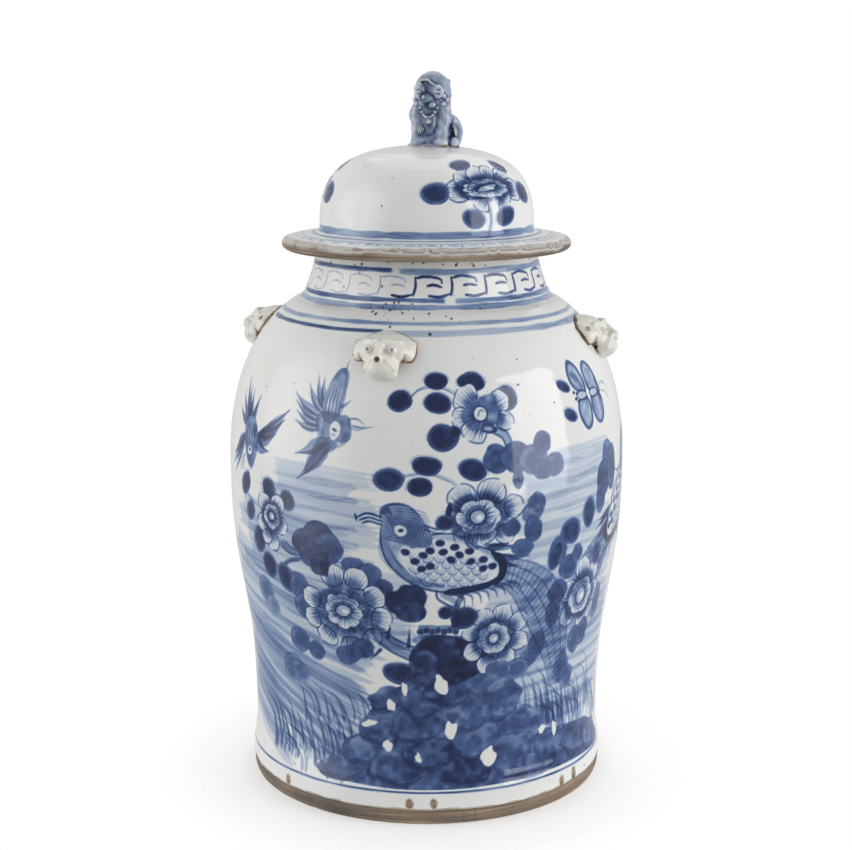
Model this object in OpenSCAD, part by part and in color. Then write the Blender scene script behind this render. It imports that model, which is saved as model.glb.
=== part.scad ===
// Ginger jar with a domed lid, four mask lugs for cords and a lion-dog finial.
// Millimetres, +Z up. The origin is the centre of the circle that the foot stands on,
// and the front lug is on the -Y side.

/* [Foot] */
// Radius at the top of the bare clay ring
foot_r = 122.5; // [112:0.5:132]
// Height of the bare clay ring
foot_h = 11; // [8:0.5:16]
// Bevel around the bottom edge of the ring
foot_bevel = 3.5; // [1:0.5:5]
// Width of the ring, from its outside to its bore
foot_ring_w = 16; // [12:0.5:22]
// Height of the underside of the base above the table
base_recess = 5; // [3:0.5:7]
// Thickness of the base
base_t = 8; // [6:0.5:12]

/* [Body] */
// Radius at the waist above the foot
waist_r = 119.8; // [108:0.2:130]
// Height of the waist
waist_z = 45; // [35:1:60]
// Largest radius
belly_r = 135; // [124:0.5:165]
// Height of the largest radius
belly_z = 222; // [180:1:270]
// Height from the largest radius to the foot of the neck
shoulder_h = 112; // [90:1:140]
// Radius where the shoulder meets the neck
shoulder_r = 84.5; // [80:0.5:104]
// Wall thickness
body_wall = 7; // [5:0.5:9]
// Rounding inside, where the wall meets the base
inner_round = 12; // [6:1:20]

/* [Neck] */
// Outside radius at the rim of the neck
neck_r = 75; // [62:0.5:79]
// Height of the neck
neck_h = 30; // [22:1:40]
// Wall thickness of the neck
neck_wall = 6; // [4:0.5:8]

/* [Lid] */
// Radius of the flange
flange_r = 97.6; // [90:0.2:118]
// Thickness of the flange at its edge
flange_t = 8.7; // [6:0.1:11]
// Rise of the flange's top towards the dome
flange_rise = 2.5; // [0:0.5:4]
// Radius of the upright wall of the dome
dome_r = 72.3; // [60:0.1:80]
// Height of the dome above the flange's edge
dome_h = 60.5; // [50:0.5:74]
// Width of the flare at the foot of the dome
dome_flare = 6.5; // [3:0.5:9]
// Wall thickness of the lid
lid_wall = 6; // [4:0.5:8]
// Depth of the ring under the lid that drops into the neck
locating_h = 14; // [8:1:20]
// Wall thickness of that ring
locating_wall = 5; // [4:0.5:7]

/* [Fits] */
// Gap between the rim of the neck and the resting lid
seat_gap = 0.3; // [0.2:0.1:0.6]
// Gap around the locating ring inside the neck
locating_gap = 2; // [1:0.5:4]

/* [Lugs] */
// Number of mask lugs, evenly spaced
lug_count = 4; // [4]
// Width across the ears
lug_w = 40; // [34:1:48]
// Width across the jaw
jaw_w = 24; // [18:1:30]
// Height of a lug
lug_h = 29; // [26:1:32]
// Height of the bottom of the lugs, measured down from the foot of the neck
lug_drop = 41; // [38:1:44]
// How far the snout stands out from the shoulder beside it
lug_reach = 18; // [15:0.5:21]
// Thickness of the mask in front of its cord tunnel
mask_t = 7; // [5:0.5:8]

/* [Finial] */
// Height of the plinth under the lion-dog
plinth_h = 7; // [5:0.5:10]
// Radius of the plinth
plinth_r = 18; // [15:0.5:22]
// Height of the lion-dog
dog_h = 46; // [38:1:58]

/* [Hidden] */
$fn = 96;

GLAZE = "#e6e7e4";
CLAY = "#a89a8c";
BLUE_GLAZE = "#5f7ea6";

steps = 14;
embed = 4;
foot_bore_r = foot_r - foot_ring_w;
base_top = base_recess + base_t;
shoulder_z = belly_z + shoulder_h;
neck_bore_r = neck_r - neck_wall;
rim_z = shoulder_z + neck_h;
lid_z = rim_z + seat_gap;
flange_top = lid_z + flange_t;
dome_foot_z = flange_top + flange_rise;
apex_z = flange_top + dome_h;
locating_r = neck_bore_r - locating_gap;
plinth_z = apex_z - 3;
dog_z = plinth_z + plinth_h;
lug_z = shoulder_z - lug_drop;

// ---- curves: lists of [radius, height] points ----

function bezier(a, b, c, d) = [
    for (i = [0:steps])
        let (t = i / steps, s = 1 - t)
            s * s * s * a + 3 * s * s * t * b + 3 * s * t * t * c + t * t * t * d
];

// A curve that leaves both ends upright
function swell(a, b) = let (m = (a[1] + b[1]) / 2) bezier(a, [a[0], m], [b[0], m], b);

// Quarter of an ellipse from angle p to angle q
function arc(centre, rx, ry, p, q) = [
    for (i = [0:steps]) let (w = p + (q - p) * i / steps) centre + [rx * cos(w), ry * sin(w)]
];

function reversed(c) = [for (i = [len(c) - 1:-1:0]) c[i]];

// The same curve moved towards the axis by a wall's thickness
function inset(c, wall) = [
    for (i = [0:len(c) - 1])
        let (
            a = c[max(i - 1, 0)],
            b = c[min(i + 1, len(c) - 1)],
            d = (b - a) / norm(b - a)
        )
            c[i] + wall * [-d[1], d[0]]
];

// ---- profiles of the jar ----

lower_outer = concat(
    swell([foot_r, foot_h], [waist_r, waist_z]),
    swell([waist_r, waist_z], [belly_r, belly_z])
);
shoulder_outer = bezier(
    [belly_r, belly_z],
    [belly_r, belly_z + 0.55 * shoulder_h],
    [shoulder_r + 0.55 * (belly_r - shoulder_r), shoulder_z - 0.125 * shoulder_h],
    [shoulder_r, shoulder_z]
);
neck_outer = bezier(
    [shoulder_r, shoulder_z],
    [neck_r + 0.5 * (shoulder_r - neck_r), shoulder_z + 0.25 * neck_h],
    [neck_r + 0.15 * (shoulder_r - neck_r), shoulder_z + 0.7 * neck_h],
    [neck_r, rim_z - neck_wall / 2]
);
dome_outer = bezier(
    [dome_r, dome_foot_z + 4],
    [dome_r + 0.7, apex_z - 17],
    [0.77 * dome_r, apex_z - 1],
    [0, apex_z]
);

// Radius of the shoulder's outside at a height
function shoulder_at(z) = lookup(z, [for (p = shoulder_outer) [p[1], p[0]]]);

module revolved(points) {
    rotate_extrude() polygon(points);
}

// The jar's outside as one solid, for trimming what is fixed to it
module jar_outside() {
    revolved(concat([[0, 0], [foot_r, 0]], lower_outer, shoulder_outer, [[0, shoulder_z]]));
}

module dome_outside() {
    revolved(concat([[0, dome_foot_z]], dome_outer));
}

// ---- foot, base and body ----

module foot_ring() {
    color(CLAY)
        revolved([
            [foot_bore_r + foot_bevel / 2, 0],
            [foot_r - foot_bevel, 0],
            [foot_r - foot_bevel / 4, foot_bevel],
            [foot_r, foot_h],
            [foot_bore_r, foot_h],
            [foot_bore_r, foot_bevel / 2]
        ]);
}

module base_disc() {
    color(GLAZE) translate([0, 0, base_recess]) cylinder(r = foot_bore_r, h = base_t);
}

module lower_body() {
    inner = [
        for (p = inset(lower_outer, body_wall))
            if (p[1] > base_top + inner_round && p[1] < belly_z - 1) p
    ];
    rounding = bezier(
        [foot_bore_r, base_top],
        [foot_bore_r + 0.6 * (inner[0][0] - foot_bore_r), base_top],
        [inner[0][0], base_top + 0.4 * inner_round],
        inner[0]
    );
    color(GLAZE)
        revolved(concat(
            lower_outer,
            [[belly_r - body_wall, belly_z]],
            reversed(inner),
            reversed(rounding),
            [[foot_bore_r, foot_h]]
        ));
}

module upper_body() {
    ceiling = shoulder_z - 0.8 * body_wall;
    inner = [
        for (p = inset(shoulder_outer, body_wall))
            if (p[1] > belly_z + 1 && p[1] < ceiling - 1 && p[0] > neck_bore_r + 1) p
    ];
    color(GLAZE)
        revolved(concat(
            shoulder_outer,
            [[neck_bore_r, shoulder_z], [neck_bore_r, ceiling]],
            reversed(inner),
            [[belly_r - body_wall, belly_z]]
        ));
}

module neck() {
    round_r = neck_wall / 2;
    rim = arc([neck_r - round_r, rim_z - round_r], round_r, round_r, 0, 180);
    color(GLAZE) revolved(concat(neck_outer, rim, [[neck_bore_r, shoulder_z]]));
}

// ---- mask lugs ----

// Side view of a mask, as [distance from the axis, height] above the bottom of the lug
module mask_side(root_r) {
    top_r = shoulder_at(lug_z + lug_h);
    snout_r = root_r + lug_reach;
    polygon(concat(
        [[top_r - embed, lug_h], [top_r + 0.3 * (snout_r - top_r), lug_h + 1]],
        bezier(
            [top_r + 0.5 * (snout_r - top_r), lug_h],
            [snout_r - 4, lug_h - 3],
            [snout_r - 1, 0.7 * lug_h],
            [snout_r, 0.5 * lug_h]
        ),
        bezier([snout_r, 0.45 * lug_h], [snout_r + 1, 0.3 * lug_h], [snout_r - 1, 1], [snout_r - 5, 0]),
        [[root_r - embed - 6, 0]]
    ));
}

// Side view of the tunnel for the cord: its long side lies on the shoulder
module tunnel_side(root_r) {
    face_r = root_r + lug_reach - mask_t;
    polygon([
        [shoulder_at(lug_z + 0.28 * lug_h) - embed, 0.28 * lug_h],
        [face_r - 1, 0.28 * lug_h],
        [face_r, 0.45 * lug_h],
        [face_r - 3, 0.72 * lug_h],
        [shoulder_at(lug_z + 0.72 * lug_h) - embed, 0.72 * lug_h]
    ]);
}

// Front view of a mask: wide ears above, narrow jaw below
module mask_front() {
    for (side = [0, 1])
        mirror([side, 0])
            polygon([
                [-1, 0],
                [0.3 * jaw_w, 0],
                [0.46 * jaw_w, 0.1 * lug_h],
                [0.5 * jaw_w, 0.4 * lug_h],
                [0.42 * lug_w, 0.62 * lug_h],
                [0.5 * lug_w, 0.72 * lug_h],
                [0.49 * lug_w, 0.95 * lug_h],
                [0.3 * lug_w, 1.05 * lug_h],
                [-1, 1.05 * lug_h]
            ]);
}

module mask_face(snout_r) {
    for (side = [-1, 1]) {
        translate([snout_r - 5.5, side * 0.2 * lug_w, 0.66 * lug_h]) sphere(r = 3.2);
        translate([snout_r - 3, side * 0.1 * lug_w, 0.42 * lug_h]) sphere(r = 3.4);
        translate([snout_r - 9, side * 0.4 * lug_w, 0.84 * lug_h]) sphere(r = 3.6);
    }
    translate([snout_r - 2, 0, 0.52 * lug_h]) sphere(r = 3);
}

// A mask lug facing +X, cut off where it meets the shoulder
module mask_lug() {
    root_r = shoulder_at(lug_z + 0.5 * lug_h);
    color(GLAZE)
        difference() {
            union() {
                translate([0, 0, lug_z])
                    difference() {
                        intersection() {
                            rotate([90, 0, 0])
                                linear_extrude(height = lug_w + 2, center = true) mask_side(root_r);
                            rotate([90, 0, 90]) linear_extrude(height = 2 * belly_r) mask_front();
                        }
                        rotate([90, 0, 0])
                            linear_extrude(height = lug_w + 4, center = true) tunnel_side(root_r);
                    }
                translate([0, 0, lug_z]) mask_face(root_r + lug_reach);
            }
            jar_outside();
        }
}

module lug_at(index) {
    rotate([0, 0, 360 * index / lug_count - 90]) mask_lug();
}

module mask_lug_front() {
    lug_at(0);
}

module mask_lug_right() {
    lug_at(1);
}

module mask_lug_back() {
    lug_at(2);
}

module mask_lug_left() {
    lug_at(3);
}

// ---- lid ----

module lid_flange() {
    edge_r = flange_t / 2;
    edge = arc([flange_r - 1.2 * edge_r, lid_z + edge_r], 1.2 * edge_r, edge_r, -90, 90);
    color(GLAZE)
        revolved(concat(
            edge,
            [
                [dome_r + dome_flare, dome_foot_z],
                [dome_r - lid_wall, dome_foot_z],
                [locating_r - locating_wall, lid_z]
            ]
        ));
}

module lid_dome() {
    flare = bezier(
        [dome_r + dome_flare, dome_foot_z],
        [dome_r + 0.3 * dome_flare, dome_foot_z + 0.3],
        [dome_r, dome_foot_z + 1],
        dome_outer[0]
    );
    hollow = [for (p = inset(dome_outer, lid_wall)) if (p[0] > 1) p];
    color(GLAZE)
        revolved(concat(
            flare,
            dome_outer,
            [[0, apex_z - lid_wall]],
            reversed(hollow),
            [[dome_r - lid_wall, dome_foot_z]]
        ));
}

module lid_locating_ring() {
    bevel = 1.5;
    color(CLAY)
        revolved([
            [locating_r, lid_z],
            [locating_r, lid_z - locating_h + bevel],
            [locating_r - bevel, lid_z - locating_h],
            [locating_r - locating_wall, lid_z - locating_h],
            [locating_r - locating_wall, lid_z]
        ]);
}

// ---- finial ----

module finial_plinth() {
    color(BLUE_GLAZE)
        difference() {
            revolved([
                [0, plinth_z - 2],
                [plinth_r, plinth_z - 2],
                [plinth_r, plinth_z + 0.25 * plinth_h],
                [0.86 * plinth_r, plinth_z + 0.6 * plinth_h],
                [0.9 * plinth_r, dog_z],
                [0, dog_z]
            ]);
            dome_outside();
        }
}

// A ball at a place given as shares of the dog's height
module ball(place, r) {
    translate(dog_h * place) scale(dog_h * r) sphere(r = 1, $fn = 22);
}

// Two balls joined by a smooth skin
module limb(a, ra, b, rb) {
    hull() {
        ball(a, ra);
        ball(b, rb);
    }
}

// A seated lion-dog looking towards -Y, on its own ground at height 0
module seated_dog() {
    limb([0, -0.06, 0.30], 0.22, [0, 0.12, 0.22], 0.22);
    limb([0, -0.06, 0.34], 0.19, [0, -0.05, 0.60], 0.19);
    limb([0, -0.03, 0.78], 0.215, [0, -0.09, 0.71], 0.22);
    limb([0, -0.18, 0.66], 0.13, [0, -0.23, 0.62], 0.12);
    limb([0, 0.28, 0.22], 0.09, [0, 0.26, 0.52], 0.07);
    for (side = [-1, 1]) {
        limb([side * 0.15, -0.22, 0.07], 0.08, [side * 0.15, -0.14, 0.36], 0.1);
        limb([side * 0.24, 0.1, 0.15], 0.15, [side * 0.22, 0.12, 0.26], 0.14);
        limb([side * 0.27, -0.02, 0.06], 0.06, [side * 0.25, 0.12, 0.08], 0.08);
        limb([side * 0.16, 0.02, 0.74], 0.11, [side * 0.19, -0.04, 0.66], 0.1);
        ball([side * 0.1, -0.23, 0.78], 0.06);
    }
    ball([0, -0.31, 0.68], 0.05);
}

module finial_lion_dog() {
    color(BLUE_GLAZE)
        intersection() {
            translate([0, 0, dog_z]) seated_dog();
            translate([0, 0, dog_z]) cylinder(r = 2 * plinth_r, h = 2 * dog_h);
        }
}

foot_ring();
base_disc();
lower_body();
upper_body();
neck();
mask_lug_front();
mask_lug_right();
mask_lug_back();
mask_lug_left();
lid_flange();
lid_dome();
lid_locating_ring();
finial_plinth();
finial_lion_dog();
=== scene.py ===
"""A painted ginger jar: thrown, luted, glazed and fired stoneware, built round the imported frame.

Everything is in metres in the frame's own axes: +Z up, the front lug towards -Y.
"""

import copy
import math

import bmesh
import bpy
import numpy as np
from mathutils import Matrix, Vector
from mathutils.bvhtree import BVHTree


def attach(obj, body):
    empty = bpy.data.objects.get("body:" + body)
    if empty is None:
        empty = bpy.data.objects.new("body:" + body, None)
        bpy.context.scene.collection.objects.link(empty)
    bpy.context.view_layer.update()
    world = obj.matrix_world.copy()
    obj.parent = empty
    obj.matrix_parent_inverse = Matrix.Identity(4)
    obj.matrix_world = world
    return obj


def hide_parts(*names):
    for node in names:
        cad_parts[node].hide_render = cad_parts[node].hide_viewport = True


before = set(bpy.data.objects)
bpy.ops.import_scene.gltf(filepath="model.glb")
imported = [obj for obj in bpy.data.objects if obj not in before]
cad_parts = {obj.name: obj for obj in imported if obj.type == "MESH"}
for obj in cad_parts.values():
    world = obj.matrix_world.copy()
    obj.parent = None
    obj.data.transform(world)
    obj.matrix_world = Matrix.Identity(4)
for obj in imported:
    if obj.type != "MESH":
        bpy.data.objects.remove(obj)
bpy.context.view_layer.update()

MM = 0.001
SCENE_TURN = math.radians(13.5)  # azimuth of the middle of the painted scene
BODY_RADIUS = 130.0  # mm; marks on the body are placed as if it were a drum of this radius
RIM_EDGE = 11.5  # mm along the lid from its underside; below this the flange is bare clay

# ---------------------------------------------------------------- brush work
#
# The painting is laid on a canvas that wraps round the jar: x is millimetres round it from the
# middle of the painted scene, y is millimetres up. A canvas holds the depth of cobalt at each
# point, and where the glaze is missing so that bare clay shows.

LATTICE_MASK = 255  # the lattice of noise repeats after this many lumps and one
LATTICE = np.random.default_rng(7).random((LATTICE_MASK + 1, LATTICE_MASK + 1)).astype(np.float32)


def noise(x, y, seed=0):
    """Smooth value noise from 0 to 1, one lump per unit."""
    x = np.asarray(x, np.float32) + 17.3 * seed
    y = np.asarray(y, np.float32) + 9.7 * seed
    i, j = np.floor(x).astype(int), np.floor(y).astype(int)
    u, v = x - i, y - j
    u, v = u * u * (3 - 2 * u), v * v * (3 - 2 * v)
    i0, i1 = i & LATTICE_MASK, (i + 1) & LATTICE_MASK
    j0, j1 = j & LATTICE_MASK, (j + 1) & LATTICE_MASK
    low = LATTICE[i0, j0] * (1 - u) + LATTICE[i1, j0] * u
    high = LATTICE[i0, j1] * (1 - u) + LATTICE[i1, j1] * u
    return low * (1 - v) + high * v


def ramp(value, low, high):
    """0 below low, 1 above high, smooth between."""
    t = np.clip((value - low) / (high - low), 0, 1)
    return t * t * (3 - 2 * t)


def ring_noise(turn, place, reach, seed=0):
    """Noise that closes on itself round the jar: a wider reach gives more lumps."""
    return noise(place + reach * np.cos(turn), place + reach * np.sin(turn), seed)


def spline(points, step=1.2):
    """A smooth open curve through the points, as evenly dense points."""
    p = np.asarray(points, float)
    if len(p) == 2:
        count = max(2, int(np.hypot(*(p[1] - p[0])) / step) + 1)
        return p[0] + (p[1] - p[0]) * np.linspace(0, 1, count)[:, None]
    ends = np.vstack([2 * p[0] - p[1], p, 2 * p[-1] - p[-2]])
    out = []
    for a, b, c, d in zip(ends, ends[1:], ends[2:], ends[3:]):
        count = max(2, int(np.hypot(*(c - b)) / step) + 1)
        t = np.linspace(0, 1, count, endpoint=False)[:, None]
        bend, twist = 2 * a - 5 * b + 4 * c - d, 3 * b - a - 3 * c + d
        out.append(0.5 * (2 * b + (c - a) * t + bend * t**2 + twist * t**3))
    return np.vstack(out + [p[-1:]])


def closed_spline(points, step=1.2):
    """A smooth closed curve through the points."""
    p = [tuple(q) for q in points]
    path = spline(p[-2:] + p + p[:2], step)
    first = np.argmin(np.hypot(*(path - p[0]).T))
    last = len(path)
    if first + 3 < last:
        last = first + 3 + np.argmin(np.hypot(*(path[first + 3 :] - p[0]).T))
    return path[first:last]


def nearest_on(path, x, y):
    """Distance to the path, share of the way along it, signed distance to one side, and its length."""
    best = np.full(np.broadcast(x, y).shape, 1e9, np.float32)
    along = np.zeros_like(best)
    side = np.zeros_like(best)
    lengths = np.hypot(*np.diff(path, axis=0).T)
    total = max(lengths.sum(), 1e-6)
    done = 0.0
    for a, b, length in zip(path[:-1], path[1:], lengths):
        if length < 1e-9:
            continue
        ex, ey = (b - a) / length
        s = np.clip((x - a[0]) * ex + (y - a[1]) * ey, 0, length)
        dx, dy = x - a[0] - s * ex, y - a[1] - s * ey
        d = np.hypot(dx, dy)
        closer = d < best
        best = np.where(closer, d, best)
        along = np.where(closer, (done + s) / total, along)
        side = np.where(closer, np.sign(ex * dy - ey * dx) * d, side)
        done += length
    return best, along, side, total


def softness(step):
    """Half the width of a painted edge, in mm: it spans about a column of the mesh."""
    return 0.45 * step + 0.12


class Canvas:
    """A sheet of cobalt that wraps round the jar, with its bare places and its pits."""

    def __init__(self, around, columns, heights):
        self.step = around / columns
        self.columns = columns
        self.heights = heights
        self.cobalt, self.bare, self.pits = np.zeros((3, len(heights), columns), np.float32)
        self.soft = softness(self.step)

    def at_radius(self, radius):
        """The same sheet, measured round a narrower or wider part of the jar."""
        view = copy.copy(self)
        view.step = 2 * math.pi * radius / self.columns
        view.soft = softness(view.step)
        return view

    def around(self):
        """How far round the jar each column is, in mm and in radians."""
        x = (np.arange(self.columns) * self.step)[None, :]
        return x, 2 * math.pi * x / (self.step * self.columns)

    def strip(self, where, shown):
        """Show bare clay at a place, as far as it isn't shown there already."""
        self.bare[where] = np.maximum(self.bare[where], shown)

    def pit(self, x, y, size, long=1.0, high=1.0):
        """A pinhole burnt through the glaze, stretched sideways by long and upwards by high."""
        where, gx, gy = self.window(np.array([(x, y)]), 0.5 * size * max(long, high) + 1.2)
        r = np.hypot((gx - x) / long, (gy - y) / high) - 0.5 * size
        self.pits[where] = np.maximum(self.pits[where], ramp(-r, -0.2, 0.35))

    def window(self, points, margin):
        """The patch of canvas round some points: where it is, and its coordinates."""
        p = np.asarray(points)
        low, high = p.min(axis=0) - margin, p.max(axis=0) + margin
        r0, r1 = np.searchsorted(self.heights, [low[1], high[1]])
        columns = np.arange(int(np.floor(low[0] / self.step)), int(np.ceil(high[0] / self.step)) + 1)
        where = np.ix_(np.arange(r0, r1), columns % self.columns)
        x = (columns * self.step)[None, :].astype(np.float32)
        return where, x, self.heights[r0:r1, None].astype(np.float32)


class Pen:
    """A brush at a place on the canvas. Its marks are given in millimetres from that place."""

    def __init__(self, canvas, x=0.0, y=0.0, size=1.0, turn=0.0, flip=False, seed=0):
        self.canvas = canvas
        self.origin = np.array([x, y], float)
        angle = math.radians(turn)
        side = -1 if flip else 1
        self.axes = size * np.array(
            [[side * math.cos(angle), side * math.sin(angle)], [-math.sin(angle), math.cos(angle)]]
        )
        self.size = size
        self.random = np.random.default_rng(seed)

    def place(self, points):
        return self.origin + np.asarray(points, float) @ self.axes

    def lay(self, where, cover, depth):
        """Cover what is there, as thick colour does, or as a reserved white does with a depth of 0."""
        sheet = self.canvas.cobalt
        sheet[where] = sheet[where] * (1 - cover) + depth * cover

    def stain(self, where, cover, depth):
        """Darken what is there, as thin colour does."""
        sheet = self.canvas.cobalt
        sheet[where] = sheet[where] + depth * cover * np.clip(1.15 - sheet[where], 0, 1)

    def line(self, points, width, depth, head=0.15, tail=0.35, thin=0.25, dry=0.0, over=False):
        """One stroke of a loaded brush, thin at its ends, paler where the brush runs dry."""
        path = spline(self.place(points))
        half = 0.5 * width * self.size
        where, x, y = self.canvas.window(path, half + 1.5)
        d, t, side, length = nearest_on(path, x, y)
        shape = thin + (1 - thin) * ramp(t, 0, max(head, 0.01)) * (1 - ramp(t, 1 - max(tail, 0.01), 1))
        seed = self.random.integers(1000)
        shape = shape * (0.9 + 0.2 * noise(t * length / 6, 0.5, seed))
        edge = half * shape
        soft = self.canvas.soft
        cover = ramp(edge - d, -soft, soft)
        grain = noise(side * 2.2, t * length / 14, seed + 1)
        if dry > 0:
            grain = grain + 0.25 * noise(side * 5, t * length / 7, seed + 2)
            cover = cover * ramp(grain, dry * (0.35 + 0.65 * t), dry + 0.35)
        tone = depth * (0.86 + 0.28 * noise(side * 1.1, t * length / 9, seed + 3))
        (self.lay if over else self.stain)(where, cover, tone)

    def fill(self, points, depth, over=True, blur=0.0, mottle=0.25):
        """A closed shape flooded with colour. Gives back its patch and the distance in from its edge."""
        outline = closed_spline(self.place(points), 1.5)
        where, x, y = self.canvas.window(outline, 2 + blur)
        d, _, _, _ = nearest_on(np.vstack([outline, outline[:1]]), x, y)
        inside = np.zeros(d.shape, bool)
        for (ax, ay), (bx, by) in zip(outline, np.roll(outline, -1, axis=0)):
            if ay == by:
                continue
            crosses = (ay > y) != (by > y)
            inside ^= crosses & (x < (bx - ax) * (y - ay) / (by - ay) + ax)
        signed = np.where(inside, d, -d)
        soft = self.canvas.soft + blur
        seed = self.random.integers(1000)
        cover = ramp(signed, -soft, soft)
        tone = depth * (1 - mottle / 2 + mottle * noise(x / 4, y / 4, seed))
        tone = tone * (1 + 0.12 * np.exp(-np.abs(signed) / 0.8))
        (self.lay if over else self.stain)(where, cover, tone)
        return where, x, y, signed

    def sweep(self, points, width, depth, ragged=12.0):
        """One pass of a wide dry brush: bristle streaks along it and fingers at its far end."""
        path = spline(self.place(points), 6.0)
        half = 0.5 * width * self.size
        where, x, y = self.canvas.window(path, half + 1.5)
        d, t, side, length = nearest_on(path, x, y)
        seed = self.random.integers(1000)
        along = t * length
        fingers = noise(side / 1.7, 0.5, seed) * 0.75 + noise(side * 1.6, 0.5, seed + 1) * 0.25
        end = ramp(length - along - ragged * fingers, 0, 2.5) * ramp(
            along - 0.25 * ragged * fingers, -1.5, 1.5
        )
        edge = half * (0.86 + 0.28 * noise(along / 16, 0.5, seed + 2))
        body = ramp(edge - d, -0.8, 1.3)
        streak = 0.55 * noise(
            side * 0.9, along / 60, seed + 3
        ) + 0.45 * noise(side * 2.6, along / 40, seed + 4)
        worn = ramp(streak + 0.35 * (1 - t), 0.22, 0.5)
        tone = depth * (0.62 + 0.8 * streak) * (0.8 + 0.4 * noise(x / 22, y / 22, seed + 5))
        self.stain(where, body * end * (0.45 + 0.55 * worn), tone)

    def outline(self, points, width, depth, gap=0.0):
        """A thin line round a closed shape, with an opening where the brush was lifted."""
        path = closed_spline(self.place(points), 1.2)
        keep = path[: int(len(path) * (1 - gap))]
        if gap == 0:
            keep = np.vstack([path, path[:1]])
        half = 0.5 * width * self.size
        where, x, y = self.canvas.window(keep, half + 1.5)
        d, t, _, length = nearest_on(keep, x, y)
        seed = self.random.integers(1000)
        edge = half * (0.7 + 0.6 * noise(t * length / 7, 0.5, seed))
        soft = self.canvas.soft
        self.stain(where, ramp(edge - d, -soft, soft), depth)

    def dab(self, x, y, long, wide, turn=0.0, depth=0.95, lumps=0.08, trace=True):
        """A leaf: one press of a full brush. The colour pools dark inside a paler rim."""
        seed = self.random.integers(1000)
        angle = math.radians(turn)
        steps = np.arange(14) / 14 * 2 * math.pi
        bump = 1 + lumps * (2 * noise(steps / 0.9, 0.5, seed) - 1)
        ring = np.stack([0.5 * long * np.cos(steps), 0.5 * wide * np.sin(steps)], axis=1) * bump[:, None]
        spin = np.array([[math.cos(angle), math.sin(angle)], [-math.sin(angle), math.cos(angle)]])
        ring = ring @ spin + (x, y)
        where, gx, gy, signed = self.fill(ring, 0.74 * depth, mottle=0.3)
        reach = 0.25 * min(long, wide) * self.size
        shift = reach * (self.random.random(2) - 0.5)
        blot = noise((gx + shift[0]) / 4, (gy + shift[1]) / 4, seed + 5)
        pool = ramp(signed, 0.12 * reach, 0.85 * reach) * (0.75 + 0.5 * blot)
        self.stain(where, np.clip(pool, 0, 1.2), 0.7 * depth)
        if trace:
            grown = (ring - (x, y)) * (1 + 1.1 / min(long, wide)) + (x, y)
            grown = grown + 0.5 * (self.random.random(2) - 0.5)
            self.outline(grown, 0.5, 0.3, gap=0.45)


# ---------------------------------------------------------------- motifs


def oval(x, y, long, wide, turn=0.0, lumps=None):
    """Twelve points round an oval, pushed in or out by the lumps if given."""
    steps = np.arange(12) / 12 * 2 * math.pi
    grow = 1.0 if lumps is None else lumps
    ring = np.stack([0.5 * long * np.cos(steps) * grow, 0.5 * wide * np.sin(steps) * grow], axis=1)
    a = math.radians(turn)
    return ring @ np.array([[math.cos(a), math.sin(a)], [-math.sin(a), math.cos(a)]]) + (x, y)


def lobed(pen, lobes, rx, ry, cut=0.14):
    """A scalloped ring with uneven lobes."""
    steps = np.linspace(0, 2 * math.pi, lobes * 7, endpoint=False)
    start = 6.28 * pen.random.random()
    wave = np.abs(np.sin(0.5 * lobes * steps + start)) ** 0.6
    drift = 1 + 0.12 * (noise(steps * 1.2, 0.5, pen.random.integers(1000)) - 0.5)
    r = (1 - cut + cut * wave) * drift
    return np.stack([rx * r * np.cos(steps), ry * r * np.sin(steps)], axis=1)


def petal(pen, x, y, wide, deep, tone, rays=8):
    """One outer petal centred at x, y from the flower's heart: white, outlined, veined from its root."""
    out = np.array([x, y]) / math.hypot(x, y)
    across = np.array([-out[1], out[0]])
    turn = math.degrees(math.atan2(out[1], out[0]))
    ring = oval(x, y, deep, wide, turn, 1 + 0.07 * (2 * pen.random.random(12) - 1))
    pen.fill(ring, 0.05, mottle=1.4)
    root = np.array([x, y]) - 0.42 * deep * out
    pen.fill(
        oval(root[0], root[1], 0.8 * deep, 0.8 * wide, turn), 0.22 * tone, over=False, blur=1.4, mottle=0.9
    )
    pen.outline(ring, 0.9, 0.66 * tone, gap=0.06)
    for share in np.linspace(-0.8, 0.8, rays):
        share += 0.05 * (2 * pen.random.random() - 1)
        reach = 0.36 * deep * math.sqrt(1 - share * share) * (0.8 + 0.4 * pen.random.random())
        root = np.array([x, y]) - 0.5 * deep * out + 0.32 * share * wide * across
        tip = np.array([x, y]) + reach * out + 0.46 * share * wide * across
        pen.line([root, tip], 1.25, 0.5 * tone, head=0.02, tail=0.75, thin=0.12)


def ray_ends(pen, count, rx, ry):
    """Places round an oval, at slightly uneven angles, drawn one at a time."""
    for k in range(count):
        a = 2 * math.pi * (k + 0.6 * pen.random.random()) / count
        yield np.array([rx * math.cos(a), ry * math.sin(a)])


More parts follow.
